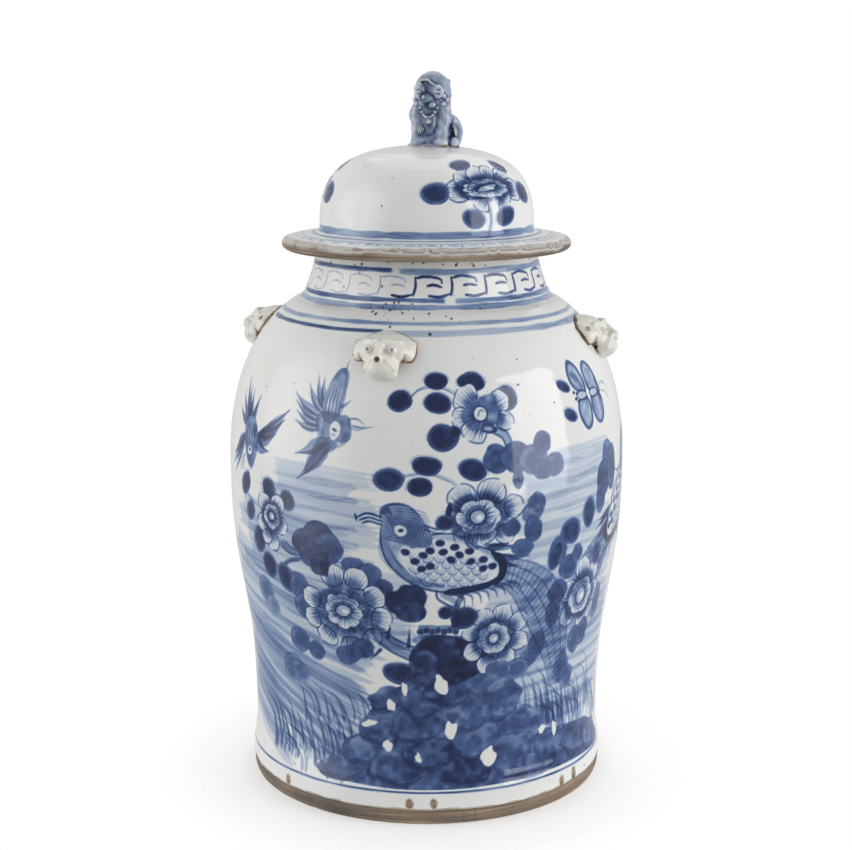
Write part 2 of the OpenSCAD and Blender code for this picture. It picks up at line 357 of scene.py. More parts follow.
def flower(canvas, x, y, petals, inner, heart, seed=0, tone=0.9, lobes=6, size=1.0):
    """A peony: outer petals, a dark band, a veined inner rosette and an oval heart, each over the last."""
    pen = Pen(canvas, x, y, size, seed=seed)
    for px, py, wide, deep in petals:
        petal(pen, px, py, wide, deep, tone, rays=max(5, int(wide / 1.9)))
    rx, ry = inner
    band = lobed(pen, lobes, 1.34 * rx, 1.34 * ry, 0.08)
    pen.fill(band, 0.46 * tone, over=False, blur=1.4, mottle=1.3)
    for u in ray_ends(pen, 46, rx, ry):
        tip = (1.35 + 0.3 * pen.random.random()) * u
        pen.line([0.95 * u, tip], 0.9, 0.42 * tone, head=0.02, tail=0.8, thin=0.1)
    ring = lobed(pen, lobes, rx, ry, 0.16)
    pen.fill(ring, 0.1, mottle=1.5)
    pen.outline(ring, 0.85, 0.7 * tone, gap=0.25)
    side = 6.28 * pen.random.random()
    arc = [(0.8 * rx * math.cos(side + a), 0.8 * ry * math.sin(side + a)) for a in np.linspace(-1.2, 1.2, 6)]
    pen.line(arc, 0.32 * min(rx, ry), 0.5 * tone, head=0.3, tail=0.4, dry=0.12)
    for u in ray_ends(pen, 34, rx, ry):
        tip = (0.78 + 0.24 * pen.random.random()) * u
        pen.line([0.3 * u, tip], 1.15, 0.56 * tone, head=0.02, tail=0.75, thin=0.15)
    hx, hy = heart
    for grow, depth, gap in ((1.35, 0.5, 0.15), (1.0, 0.85, 0)):
        pen.outline(oval(0, 0, 2 * grow * hx, 2 * grow * hy, 12), 0.95, depth * tone, gap)
    pen.fill(oval(0, 0, 1.6 * hx, 1.5 * hy, 12), 0.3 * tone, mottle=0.7)
    pen.fill(oval(0.2 * hx, -0.1 * hy, 0.8 * hx, 0.7 * hy, -10), 0.02, blur=0.3, mottle=0)


def bud_flower(canvas, x, y, seed=0, tone=0.9):
    """A half-open peony seen from the side: two pale collars of petals round a dark cup."""
    pen = Pen(canvas, x, y, seed=seed)
    for px, py, wide, deep in [
        (-10, 10, 18, 13), (13, 7, 14, 12), (15, -5, 12, 12), (-13, -3, 15, 13), (-6, -11, 17, 12)
    ]:
        petal(pen, px, py, wide, deep, tone)
    cup = [(-10, -7), (-13, 0), (-8, 6), (0, 10), (9, 11), (11, 2), (8, -7), (0, -10)]
    pen.fill(cup, 0.66 * tone, over=True, blur=0.4, mottle=0.9)
    for a in np.radians(np.arange(100, 260, 9)):
        u = np.array([math.cos(a), math.sin(a)])
        pen.line([3 * u, (11 + 4 * pen.random.random()) * u], 0.9, 0.5, head=0.02, tail=0.8)
    for a in np.radians(np.arange(100, 240, 16)):
        u = np.array([math.cos(a), math.sin(a)])
        pen.line([5 * u, 11 * u], 0.5, -0.5, head=0.1, tail=0.6)
    heart = oval(-1, 0, 9, 9, 20)
    pen.fill(heart, 0.05, mottle=0)
    pen.outline(heart, 0.9, 0.85 * tone)
    pen.line([(-3, -2), (-1, 2), (2, 1)], 0.9, 0.5)
    pen.fill(oval(4, -9.5, 11, 5.5, -8), 0.85 * tone, mottle=0.2)
    pen.fill(oval(4, -9.3, 6.5, 2.4, -8), 0.3 * tone, blur=0.2, mottle=0)


def twig(canvas, points, width=1.0, depth=0.45, seed=0):
    """A stalk drawn as two thin lines with a pale wash between them."""
    pen = Pen(canvas, seed=seed)
    pen.line(points, 2.6 * width, 0.75 * depth, tail=0.2, thin=0.5)
    shifted = np.asarray(points, float)
    pen.line(shifted + (0.9 * width, 0.7 * width), 0.75, depth + 0.2, thin=0.4)
    pen.line(shifted - (0.9 * width, 0.7 * width), 0.75, depth + 0.2, thin=0.4)


def branch(canvas, points, thorns, width=6.0, depth=0.42, seed=0):
    """A gnarled branch: a streaky wash, a darker edge and a few thorns."""
    pen = Pen(canvas, seed=seed)
    pen.line(points, width, depth, head=0.1, tail=0.15, thin=0.5, dry=0.1)
    path = np.asarray(points, float)
    pen.line(path + (0, 0.42 * width), 1.3, depth + 0.15, thin=0.5)
    pen.line(path - (0.5, 0.42 * width), 1.1, depth + 0.1, thin=0.5)
    pen.line(path + (0.4, 0.1 * width), 0.8, depth, thin=0.5)
    for root, tip in thorns:
        pen.line([root, tip], 2.6, depth + 0.3, head=0.05, tail=0.8, thin=0.15)


def sprig(canvas, stem, leaves, seed=0, depth=1.0):
    """A fine stem with dark leaves pressed along it: each leaf is x, y, length, width and turn."""
    pen = Pen(canvas, seed=seed)
    if stem:
        pen.line(stem, 0.9, 0.5, thin=0.4)
        pen.line(np.asarray(stem, float) + (0.6, 1.2), 0.55, 0.35, thin=0.4)
    for x, y, long, wide, turn in leaves:
        tone = depth * (0.9 + 0.2 * pen.random.random())
        pen.dab(x, y, long, wide, turn, tone)


def butterfly(canvas, x, y, size=1.0, seed=0):
    """Four pale wings with dark edges, seen from above, head to the right."""
    pen = Pen(canvas, x, y, size, seed=seed)
    wings = [
        [(-4, 2), (-11, 4), (-16, 10), (-16, 17), (-12, 22), (-6, 19), (-2, 12), (-1, 4)],
        [(3, 3), (1, 10), (2, 17), (7, 20), (13, 16), (16, 8), (17, 0), (11, 1)],
        [(-2, -1), (-10, -2), (-13, -8), (-10, -17), (-5, -21), (0, -17), (1, -8)],
        [(4, -1), (3, -9), (6, -17), (12, -19), (17, -13), (17, -3), (10, 0)],
    ]
    for wing in wings:
        pen.fill(wing, 0.28, mottle=0.9)
        pen.outline(wing, 1.7, 0.62)
        pen.outline(0.86 * np.array(wing) + 0.14 * np.mean(wing, axis=0), 1.3, 0.22)
        root = np.array(wing[0], float)
        for tip in wing[2:5]:
            pen.line([root, root + 0.8 * (np.array(tip) - root)], 0.9, 0.3, tail=0.7)
    pen.line([(-14, 15), (-9, 12), (-4, 5)], 4, 0.3, tail=0.7)
    pen.line([(14, 10), (15, 0), (14, -12)], 3.5, 0.3)
    for cx in (-7, 8):
        spindle = oval(cx, 0.5, 11, 5.5, 0)
        pen.fill(spindle, 0.15, mottle=0.8)
        pen.outline(spindle, 1.0, 0.72)
    for dx, dy in [(-12, 2), (-14, -1), (-12, -3), (-15, 3)]:
        pen.dab(dx, dy, 2.4, 2.2, 0, 0.9, trace=False)
    pen.dab(-24, 8, 13, 7, -25, 0.85)
    pen.dab(-22, -10, 13, 8, -25, 0.8)
    pen.line([(18, 3), (26, 5), (33, -2)], 0.8, 0.35)
    pen.line([(18, 0), (26, -2), (33, -10)], 0.8, 0.35)


def feather(pen, root, tip, width, depth, bend=0.0):
    """One pointed feather: a blade, a darker spine and a pale line beside it."""
    root, tip = np.asarray(root, float), np.asarray(tip, float)
    across = np.array([-(tip - root)[1], (tip - root)[0]]) / np.hypot(*(tip - root))
    middle = 0.45 * root + 0.55 * tip + bend * across
    pen.line([root, middle, tip], width, depth, head=0.3, tail=0.6, thin=0.06)
    spine = [root + 0.25 * width * across, middle + 0.2 * width * across, tip]
    pen.line(spine, 0.24 * width, depth, head=0.2, tail=0.5)
    shine = [root - 0.1 * width * across, middle - 0.05 * width * across, 0.3 * middle + 0.7 * tip]
    pen.line(shine, 0.14 * width, -0.22, head=0.3, tail=0.6)


def wing_blades(pen, roots, tips, width, depth, bend):
    """A fan of feathers."""
    for root, tip in zip(roots, tips):
        feather(pen, root, tip, width, depth, bend)


def flying_bird(canvas, x, y, size=1.0, seed=0):
    """A bird on the wing, its beak to the right; x, y is the middle of its head."""
    pen = Pen(canvas, x, y, size, seed=seed)
    tail_tips = [(-41, 17), (-39, 12), (-37, 6), (-37, 0), (-30, 23), (-24, 28), (-19, 27)]
    tail_roots = [(-16, 4), (-16, 1), (-16, -2), (-16, -4), (-14, 5), (-13, 6), (-12, 7)]
    wing_blades(pen, tail_roots, tail_tips, 5.4, 0.42, 1.5)
    upper = [(-16, 4), (-16, 16), (-13, 27), (-8, 33), (-3, 33), (-1, 26), (-1, 14), (-3, 5), (-9, 0)]
    pen.fill(upper, 0.36, mottle=0.8)
    pen.line([(-12, 26), (-7, 32), (-2, 29), (-2, 15)], 3.4, 0.32, head=0.2, tail=0.5)
    for k in range(5):
        pen.line([(-14 + 2.4 * k, 3), (-14 + 2.6 * k, 14), (-11 + 2.0 * k, 27)], 1.3, 0.3, thin=0.2, tail=0.6)
        pen.line([(-13 + 2.4 * k, 6), (-12.6 + 2.4 * k, 16)], 0.9, -0.3, tail=0.6)
    pen.line([(-4, 32), (-3, 38)], 1.2, 0.5, tail=0.8)
    pen.line([(-4, 10), (1, 13), (3, 15)], 2.4, 0.4, tail=0.7)
    wing_blades(pen, [(-8, -8), (-8, -10)], [(-34, -21), (-32, -37)], 9.5, 0.42, 1.5)
    body = [
        (-18, 6), (-8, 7), (0, 4), (5, 0), (5, -8), (0, -13), (-10, -18), (-18, -27), (-26, -33),
        (-24, -22), (-18, -10), (-20, -2)
    ]
    pen.fill(body, 0.36, over=False, blur=0.5, mottle=0.9)
    for k in range(7):
        pen.line(
            [(-14 + 1.8 * k, 4 - k), (-15 + 1.6 * k, -9 - k), (-22 + 1.5 * k, -24 + 0.8 * k)], 1.5, 0.3,
            tail=0.6
        )
        pen.line([(-12 + 1.8 * k, -2 - k), (-13 + 1.6 * k, -10 - k)], 0.9, -0.28, tail=0.5)
    head = [(-5, 4), (0, 6), (4, 4), (5, -2), (5, -8), (0, -11), (-5, -9), (-7, -2)]
    pen.fill(head, 0.6, mottle=0.5)
    pen.fill([(-9, -1), (-6, 2), (-2, -1), (-3, -7), (-7, -10), (-9, -6)], 0.03, mottle=0)
    pen.line([(-7, -3), (-5, -4)], 1.6, 0.85, thin=0.8)
    pen.line([(-8, -6), (-5, -7)], 0.8, 0.45)
    pen.line([(3, 4), (9, 4), (14, 1)], 1.1, 0.5, tail=0.6)
    pen.line([(5, 0), (12, -1), (20, 0)], 1.2, 0.5, tail=0.6)
    pen.line([(5, -1.5), (10, -2.5), (14, -1.5)], 0.8, 0.4, tail=0.6)


def diving_bird(canvas, x, y, seed=0):
    """A bird that swoops down, tail feathers up and one wing spread; x, y is the root of its tail."""
    pen = Pen(canvas, x, y, seed=seed)
    tips = [(-17, 29), (-21, 19), (-10, 24), (-4, 22), (7, 20), (-22, 8)]
    wing_blades(pen, [(0, -4)] * 6, tips, 5.0, 0.6, 0.8)
    wing_blades(pen, [(8, -8)] * 4, [(40, 15), (37, 8), (30, -2), (24, -14)], 8.5, 0.5, -2.5)
    pen.line([(10, -8), (26, 6), (40, 14)], 3.0, 0.3, tail=0.5)
    wing_blades(pen, [(-8, -6)] * 3, [(-30, -32), (-26, -24), (-24, -36)], 7.5, 0.42, 2)
    body = [(-8, 2), (2, 6), (9, -2), (11, -14), (7, -25), (3, -29), (-3, -22), (-8, -10)]
    pen.fill(body, 0.6, mottle=0.8)
    for k in range(4):
        pen.line([(-5 + 4 * k, 0), (-4 + 3.4 * k, -10), (-1 + 2 * k, -20)], 1.2, 0.35, tail=0.6)
        pen.line([(-3 + 4 * k, -3), (-2 + 3.4 * k, -10)], 0.8, -0.35, tail=0.6)
    pen.fill(oval(1, -17, 6, 6), 0.03, mottle=0)
    pen.line([(0, -16), (2, -17)], 1.6, 0.85, thin=0.8)
    pen.line([(-5, -20), (-11, -27), (-13, -33)], 1.4, 0.5, tail=0.6)
    pen.line([(-5, -24), (-10, -30), (-6, -31)], 0.9, 0.45, tail=0.4)


PHEASANT_SPOTS = [
    (-10, 11), (-18, 8), (-23, 3), (-12, 1), (-8, 4), (-2, 9), (0, 3), (-17, -3), (-13, -8),
    (-8, -6), (7, 6), (10, 1), (5, -2), (16, 3), (17, -4), (25, -3), (25, -9), (31, -8),
]


def pheasant_tail(pen, spine_points):
    """A long curved tail: a pale band with darker edges and a fine criss-cross."""
    spine = spline(spine_points, 4)
    run = np.gradient(spine, axis=0)
    across = np.stack([-run[:, 1], run[:, 0]], axis=1) / np.hypot(*run.T)[:, None]
    share = np.linspace(0, 1, len(spine))[:, None]
    half = 9 + 7 * ramp(share, 0, 0.4) - 7 * ramp(share, 0.5, 1)
    top, low = spine + half * across, spine - half * across
    pen.fill(np.vstack([top[::3], low[::-3]]), 0.2, over=False, blur=1.2, mottle=0.6)
    for k in np.linspace(-1, 1, 5):
        pen.line((spine + k * half * across)[::3], 1.1, 0.34, head=0.05, tail=0.4)
    for k in range(1, len(spine) - 2):
        pen.line([top[k], low[min(k + 1, len(low) - 1)]], 0.8, 0.2, head=0.05, tail=0.2)
        pen.line(
            [top[k] * 0.5 + spine[k] * 0.5, top[k + 1] * 0.2 + low[k + 1] * 0.8], 0.6, 0.22, head=0.05,
            tail=0.3
        )
    middle = len(spine) // 3
    pen.line([top[middle], spine[middle], low[middle]], 7, 0.2, head=0.1, tail=0.1)


def pheasant(canvas, x, y, size=1.0, turn=0.0, flip=False, seed=0, tail=None):
    """A perched pheasant facing left, with a spotted wing, a hatched collar and a long tail."""
    pen = Pen(canvas, x, y, size, turn, flip, seed)
    pheasant_tail(pen, tail or [(34, -9), (56, -22), (72, -42), (84, -66), (94, -98)])
    for root, tip in [((24, 6), (50, 4)), ((26, 4), (44, 8)), ((30, -1), (56, -4)), ((30, -3), (50, -10))]:
        feather(pen, root, tip, 5.0, 0.5, -1)
    body = [
        (-36, 22), (-38, 10), (-35, -2), (-28, -11), (-17, -19), (-4, -23), (14, -24), (30, -21),
        (38, -12), (33, 0), (22, 6), (6, 12), (-8, 15), (-16, 22), (-26, 26),
    ]
    pen.fill(body, 0.3, mottle=0.7)
    pen.line([(-36, 16), (-35, 2), (-28, -8), (-16, -16), (0, -20)], 8, 0.2, tail=0.4)
    for k in range(4):
        pen.line([(-33 + k, 6 - k), (-29 + k, -3 - k), (-18 + 2 * k, -12)], 1.1, 0.16)
    pen.outline(body, 1.1, 0.75)
    back = [(-8, 14), (4, 15), (16, 12), (22, 7), (18, 3), (8, 5), (-2, 9)]
    pen.fill(back, 0.22, mottle=0.8)
    pen.outline(back, 1.0, 0.7)
    pen.line([(6, 14), (8, 8), (14, 6)], 0.9, 0.5)
    wing = [
        (-18, 12), (-6, 12), (6, 10), (19, 5), (28, -1), (35, -9), (32, -17), (14, -20), (-6, -17),
        (-19, -12), (-27, -2), (-25, 6)
    ]
    pen.fill(wing, 0.06, blur=0.5, mottle=0.9)
    for row in range(5):
        for k in range(7):
            px, py = -17 + 7.6 * k + 3.8 * (row % 2), -1 - 3.9 * row - 0.4 * k
            if -22 < px < 26 and py > -19:
                j = 1.2 * (pen.random.random(4) - 0.5)
                scale = [(px - 3.8 + j[0], py + 2), (px - 2, py - 1.4 + j[1]), (px + 1.6, py - 2.0)]
                pen.line(scale + [(px + 3.8 + j[2], py + 1.4)], 0.9, 0.42, thin=0.4)
                pen.line([(px - 2.4, py + 2.4), (px, py - 0.6), (px + 2.4, py + 2)], 1.6, 0.14, thin=0.5)
    for px, py in PHEASANT_SPOTS:
        pen.dab(px, py, 5.8, 4.6, -30 + 50 * pen.random.random(), 1.05, trace=False)
    head = [
        (-38, 21), (-38, 28), (-34, 33), (-26, 34), (-18, 30), (-11, 22), (-7, 14), (-8, 7),
        (-16, 6), (-26, 8), (-35, 12),
    ]
    pen.fill(head, 0.42, blur=0.2, mottle=0.6)
    for k in range(13):
        down = [(-37 + 2.3 * k, 30 - 0.9 * k), (-31 + 2.0 * k, 20 - 0.9 * k), (-27 + 1.8 * k, 9 - 0.3 * k)]
        across = [(-38 + 0.7 * k, 12 + 1.6 * k), (-24 + 0.9 * k, 9 + 1.7 * k), (-14 + 0.5 * k, 7 + 1.3 * k)]
        pen.line(down, 0.85, 0.42, thin=0.5)
        pen.line(across, 0.85, 0.36, thin=0.5)
    pen.line([(-38, 24), (-37, 31), (-29, 34), (-20, 32), (-12, 24)], 1.6, 0.55)
    pen.line([(-37, 27), (-34, 30), (-31, 27)], 3.0, 0.5)
    patch = [(-29.5, 18.5), (-27.5, 20.4), (-24, 19.8), (-21.8, 17), (-23.2, 13.6), (-26, 12.8), (-29, 15)]
    pen.fill(patch, 0.06, mottle=0)
    pen.dab(-25.6, 17, 3.6, 2.3, 10, 0.95, trace=False)
    pen.line([(-29, 14), (-26, 12.5), (-23, 14)], 0.8, 0.4)
    for lift, reach in ((0.0, 1.0), (-2.6, 0.62), (-5.0, 0.3)):
        bill = [(-37, 25 + lift), (-44 - 2 * reach, 27 + lift), (-48 - 5 * reach, 24 + 0.7 * lift)]
        pen.line(bill, 1.4, 0.75, tail=0.3, thin=0.5)
    pen.line([(-54, 26), (-53, 22)], 1.6, 0.7, thin=0.7)
    pen.line([(-12, 21), (-3, 18), (5, 21), (9, 31)], 1.5, 0.65, tail=0.6)
    pen.line([(-11, 18), (-3, 15.5), (4, 18)], 1.2, 0.55, tail=0.6)
    pen.line([(31, 1), (37, -5), (38, -13), (34, -20)], 5.2, 1.0, head=0.2, tail=0.25, thin=0.5)
    pen.line([(2, -24), (14, -23), (28, -20), (36, -16)], 4.6, 0.9, head=0.08, tail=0.5, thin=0.6)
    for k in range(8):
        plume = [(6 + 5 * k, -25 + 0.8 * k), (13 + 5 * k, -28 + k), (14 + 5.4 * k, -35 + 1.4 * k)]
        pen.line(plume, 2.2, 0.55, tail=0.8)
    pen.line([(-4, -22), (-3, -28), (4, -33), (9, -36)], 1.6, 0.75, tail=0.2)
    pen.line([(-2, -24), (6, -29), (10, -34)], 4.0, 0.35)
    pen.line([(12, -26), (9, -34), (8, -43), (7, -50)], 4.0, 0.55, thin=0.7)
    for k in range(7):
        pen.line([(5.5, -33 - 2.6 * k), (11, -34 - 2.6 * k)], 0.9, 0.5)
    pen.line([(10, -49), (-2, -49), (-14, -48)], 5.0, 0.5, thin=0.7)
    for k in range(7):
        pen.dab(-14 + 3.8 * k, -51 + (k % 2), 5.0, 4.6, 20 * k, 0.8, trace=False)


def clump(canvas, x0, x1, base, height, lean, seed=0, depth=0.5, spacing=2.6):
    """Grass: loose curved strokes, broad low down, that curl over at the top."""
    pen = Pen(canvas, seed=seed)
    for x in np.arange(x0, x1, spacing):
        r = pen.random.random(5)
        top = height * (0.45 + 0.65 * r[0])
        foot = base + 14 * r[1] - 4
        bend = lean * (0.5 + 0.9 * r[2])
        shape = ((0, 0), (0.02, 0.4), (0.32, 0.8), (1, 1))
        blade = [(x + share * bend, foot + rise * top) for share, rise in shape]
        pen.line(blade, 1.8 + 1.8 * r[3], depth * (0.4 + 0.75 * r[4]), head=0.12, tail=0.7, thin=0.12)


def wash(canvas, x0, x1, y0, y1, slope=0.0, depth=0.2, seed=0, brush=13.0, ragged=18.0):
    """Water or mist: side-by-side passes of a wide dry brush with ragged ends."""
    pen = Pen(canvas, seed=seed)
    for y in np.arange(y0, y1, 0.72 * brush):
        r = pen.random.random(6)
        a, b = x0 + ragged * (r[0] - 0.5), x1 + ragged * (r[1] - 0.5)
        middle = 0.5 * (a + b)
        drop = slope * (b - a)
        points = [(a, y - 0.5 * drop), (middle, y + 3 * (r[2] - 0.5)), (b, y + 0.5 * drop)]
        pen.sweep(
            points, brush * (0.9 + 0.35 * r[3]), depth * (0.8 + 0.5 * r[4]), ragged * (0.7 + 0.8 * r[5])
        )
        for _ in range(2):
            c = pen.random.random(4)
            u = a + (b - a) * 0.75 * c[0]
            w = min(u + (0.15 + 0.25 * c[1]) * (b - a), b)
            lift = y + brush * (c[2] - 0.5) + slope * (0.5 * (u + w) - middle)
            ends = [(u, lift - slope * 0.5 * (w - u)), (w, lift + slope * 0.5 * (w - u))]
            pen.line(ends, 0.8 + 1.2 * c[3], 0.6 * depth, head=0.3, tail=0.5)


def boulder(pen, x, y, long, wide, turn, tone):
    """A rounded stone: a mottled dark body, a darker lower edge and a paler brow."""
    lumps = 1 + 0.15 * (2 * pen.random.random(12) - 1)
    ring = oval(x, y, long, wide, turn, lumps)
    where, gx, gy, signed = pen.fill(ring, tone, blur=0.7, mottle=0.5)
    seed = pen.random.integers(1000)
    blot = noise(gx / 11, gy / 6, seed) * 0.75 + noise(gx / 3.4, gy / 2.4, seed + 1) * 0.25
    inside = ramp(signed, 0, 3.0)
    pen.stain(where, inside * ramp(blot, 0.48, 0.66), 0.3)
    pen.lay(where, inside * ramp(blot, 0.42, 0.26) * 0.45, 0.78 * tone)
    low = len(ring) // 2
    pen.line(ring[low:], 4.2, 0.34, head=0.3, tail=0.4)
    brow = 0.82 * ring[1:low] + 0.18 * np.array([x, y])
    pen.line(brow, 2.6, -0.14, head=0.4, tail=0.5)


def rocks(canvas, outline, stones, gaps, seed=0, depth=0.72):
    """A garden rock: a dark mass, rounded stones over it, and ragged holes left white."""
    pen = Pen(canvas, seed=seed)
    pen.fill(outline, depth, mottle=0.5)
    for x, y, long, wide, turn, tone in stones:
        boulder(pen, x, y, long, wide, turn, tone)
    for x, y, w, h in gaps:
        ring = oval(x, y, 1.15 * w, 1.1 * h, 60 * pen.random.random(), 0.74 + 0.52 * pen.random.random(12))
        pen.fill(ring, 0.0, mottle=0)


def ring_line(canvas, y, width, depth, seed=0, patchy=0.5, start=None, end=None):
    """A line drawn round the turning jar, drifting in tone and width; start and end are in degrees."""
    rows = np.searchsorted(canvas.heights, [y - width, y + width])
    gy = canvas.heights[rows[0] : rows[1], None]
    x, turn = canvas.around()
    drift = 0.5 * ring_noise(turn, 6, 3, seed) - 0.25
    half = 0.5 * width * (0.75 + 0.5 * ring_noise(turn, 20, 9, seed + 1))
    tone = depth * (1 - patchy + 2 * patchy * ring_noise(turn, 9, 2.2, seed + 2))
    if start is not None:
        length = (end - start) % 360
        share = ((np.degrees(turn) - start) % 360) / length
        tone = tone * ramp(share, 0, 2 / length) * ramp(share, 1, 1 - 2 / length)
    cover = ramp(half - np.abs(gy - y - drift), -canvas.soft, canvas.soft)
    streak = 0.75 + 0.5 * noise(x / 9, gy * 2.5, seed + 3)
    patch = canvas.cobalt[rows[0] : rows[1]]
    patch += cover * tone * streak * np.clip(1.15 - patch, 0, 1)


def key_fret(canvas, y0, y1, count, dark, pale, width=1.1, seed=0):
    """A freehand key pattern of hooked frames and short bars; dark is a stretch in degrees and its tone."""
    unit = canvas.step * canvas.columns / count
    h = y1 - y0
    for k in range(count):
        pen = Pen(canvas, k * unit, y0, seed=seed + k)
        j = 0.7 * (pen.random.random(8) - 0.5)
        degrees = (k + 0.5) * 360 / count
        inside = (degrees - dark[0]) % 360 < (dark[1] - dark[0]) % 360
        tone, thick = (dark[2], width) if inside else (pale, 0.6 * width)
        tone *= 0.8 + 0.4 * pen.random.random()
        base = [(0.06 * unit, 0.02 * h + j[0]), (0.34 * unit, -0.06 * h), (0.62 * unit, 0.05 * h + j[1])]
        post = [(0.66 * unit + j[2], 0.02 * h), (0.7 * unit, 0.5 * h), (0.68 * unit, 0.95 * h + j[3])]
        hook = [(0.7 * unit, 0.92 * h), (1.0 * unit, 1.02 * h + j[4]), (1.36 * unit, 0.88 * h)]
        hook.append((1.42 * unit, 0.66 * h + j[5]))
        bar = [(1.02 * unit, 0.5 * h + j[6]), (1.2 * unit, 0.56 * h), (1.4 * unit, 0.46 * h + j[7])]
        for stroke, thin in ((base, 0.7), (post, 0.6), (hook, 0.6), (bar, 0.6)):
            pen.line(stroke, thick, tone, thin=thin)


# ---------------------------------------------------------------- the painting

# The bare clay above the top height is real at the lip, and is set low enough that its dark band is also the
# painted shadow under the lid's flange.
GLAZE_FOOT, GLAZE_TOP_AND_SHADOW_LINE = 10.9, 368.4  # mm up the jar between which the glaze runs
FLANGE_MIDDLE, DOME_WALL = 86, 68  # radii of the lid at its key marks and at its peonies, in mm
KEY_MARKS = 40


def water(canvas):
    """Pale washes behind everything: level on the right, sinking to the left on the left."""
    wash(canvas, -112, -24, 198, 240, -0.04, 0.14, seed=1, brush=12, ragged=26)
    wash(canvas, -150, -28, 160, 200, -0.1, 0.15, seed=2, ragged=22)
    wash(canvas, -172, -30, 104, 168, -0.24, 0.17, seed=3, ragged=22)
    wash(canvas, -186, -28, 52, 112, -0.34, 0.19, seed=4, ragged=30)
    wash(canvas, -190, -104, 40, 90, -0.4, 0.16, seed=5, ragged=26)
    wash(canvas, -48, 2, 128, 172, -0.03, 0.14, seed=6, ragged=16)
    wash(canvas, 58, 150, 186, 244, 0.05, 0.12, seed=7, ragged=16)
    wash(canvas, 40, 168, 130, 186, 0.03, 0.12, seed=8, ragged=16)
    wash(canvas, 44, 176, 66, 130, 0.04, 0.16, seed=9, ragged=16)


def birds(canvas):
    """One bird flies at the left of the front lug, one dives near the edge."""
    flying_bird(canvas, -53, 266, seed=11)
    diving_bird(canvas, -136, 256, seed=12)


def upper_branch(canvas):
    """The half-open peony at the top, with its leaves."""
    stem = [(-12, 283), (-4, 289), (8, 290), (18, 286), (24, 280)]
    leaves = [
        (-17, 282, 16, 13, 20), (6, 294, 16, 10, 0), (7, 281, 18, 12.5, -6), (30, 293, 19, 11, -4),
        (53, 282, 15, 15, 0)
    ]
    sprig(canvas, stem, leaves, seed=13)
    bud_flower(canvas, 35, 274, seed=14)
    twig(canvas, [(42, 264), (49, 260), (53, 250)], 2.2, seed=15)
    sprig(canvas, None, [(10, 260, 20, 17, 0), (17, 263, 8, 8, 0)], seed=16)
    cloud_leaves(
        canvas,
        [
            (43, 246, 17, 18), (56, 246, 22, 20), (68, 243, 20, 19), (75, 253, 13, 15), (84, 238, 15, 15),
            (75, 236, 16, 12), (57, 232, 7, 13)
        ],
        seed=46
    )


def cloud_leaves(canvas, blobs, seed=0, depth=0.72, blur=0.3):
    """Leaves that ran together into one cloud."""
    pen = Pen(canvas, seed=seed)
    for x, y, long, wide in blobs:
        ring = oval(x, y, long, wide, 0, 1 + 0.08 * (2 * pen.random.random(12) - 1))
        pen.fill(ring, depth * (0.8 + 0.25 * pen.random.random()), blur=blur, mottle=0.35)
        pen.fill(oval(x + 1, y, 0.66 * long, 0.66 * wide), 0.3 * depth, over=False, blur=1.2, mottle=0.5)
        pen.outline(ring, 0.6, 0.3, gap=0.4)


def middle_branch(canvas):
    """The peony over the pheasant's back, with its leaves."""
    stem = [(-16, 236), (0, 238), (14, 233), (22, 226)]
    leaves = [(-23, 234, 19, 15, 8), (0, 243, 19, 12, -5), (-4, 230, 15, 12, 0), (28, 240, 18, 13, -20)]
    sprig(canvas, stem, leaves, seed=17)
    petals = [
        (-10, 13, 19, 16), (9, 16, 20, 16), (23, 5, 16, 13), (18, -12, 13, 13), (3, -13, 18, 11),
        (-10, -6, 14, 12)
    ]
    flower(canvas, 31, 210, petals, (14.5, 12), (5.2, 5.2), seed=18)
    pen = Pen(canvas, seed=47)
    pen.line([(14, 219), (13, 212), (16, 207)], 3.2, 0.85, thin=0.6)
    pen.line([(22, 213), (16, 216), (13, 212)], 1.6, 0.6, thin=0.6)
    sprig(canvas, None, [(11, 207, 12, 10, 0)], seed=48)
    twig(canvas, [(24, 200), (26, 194), (30, 190)], 2.0, seed=49)
    cloud_leaves(
        canvas,
        [(70, 214, 13, 16), (67, 209, 14, 14), (68, 198, 13, 17), (61, 187, 15, 12), (53, 201, 12, 11)],
        seed=50
    )


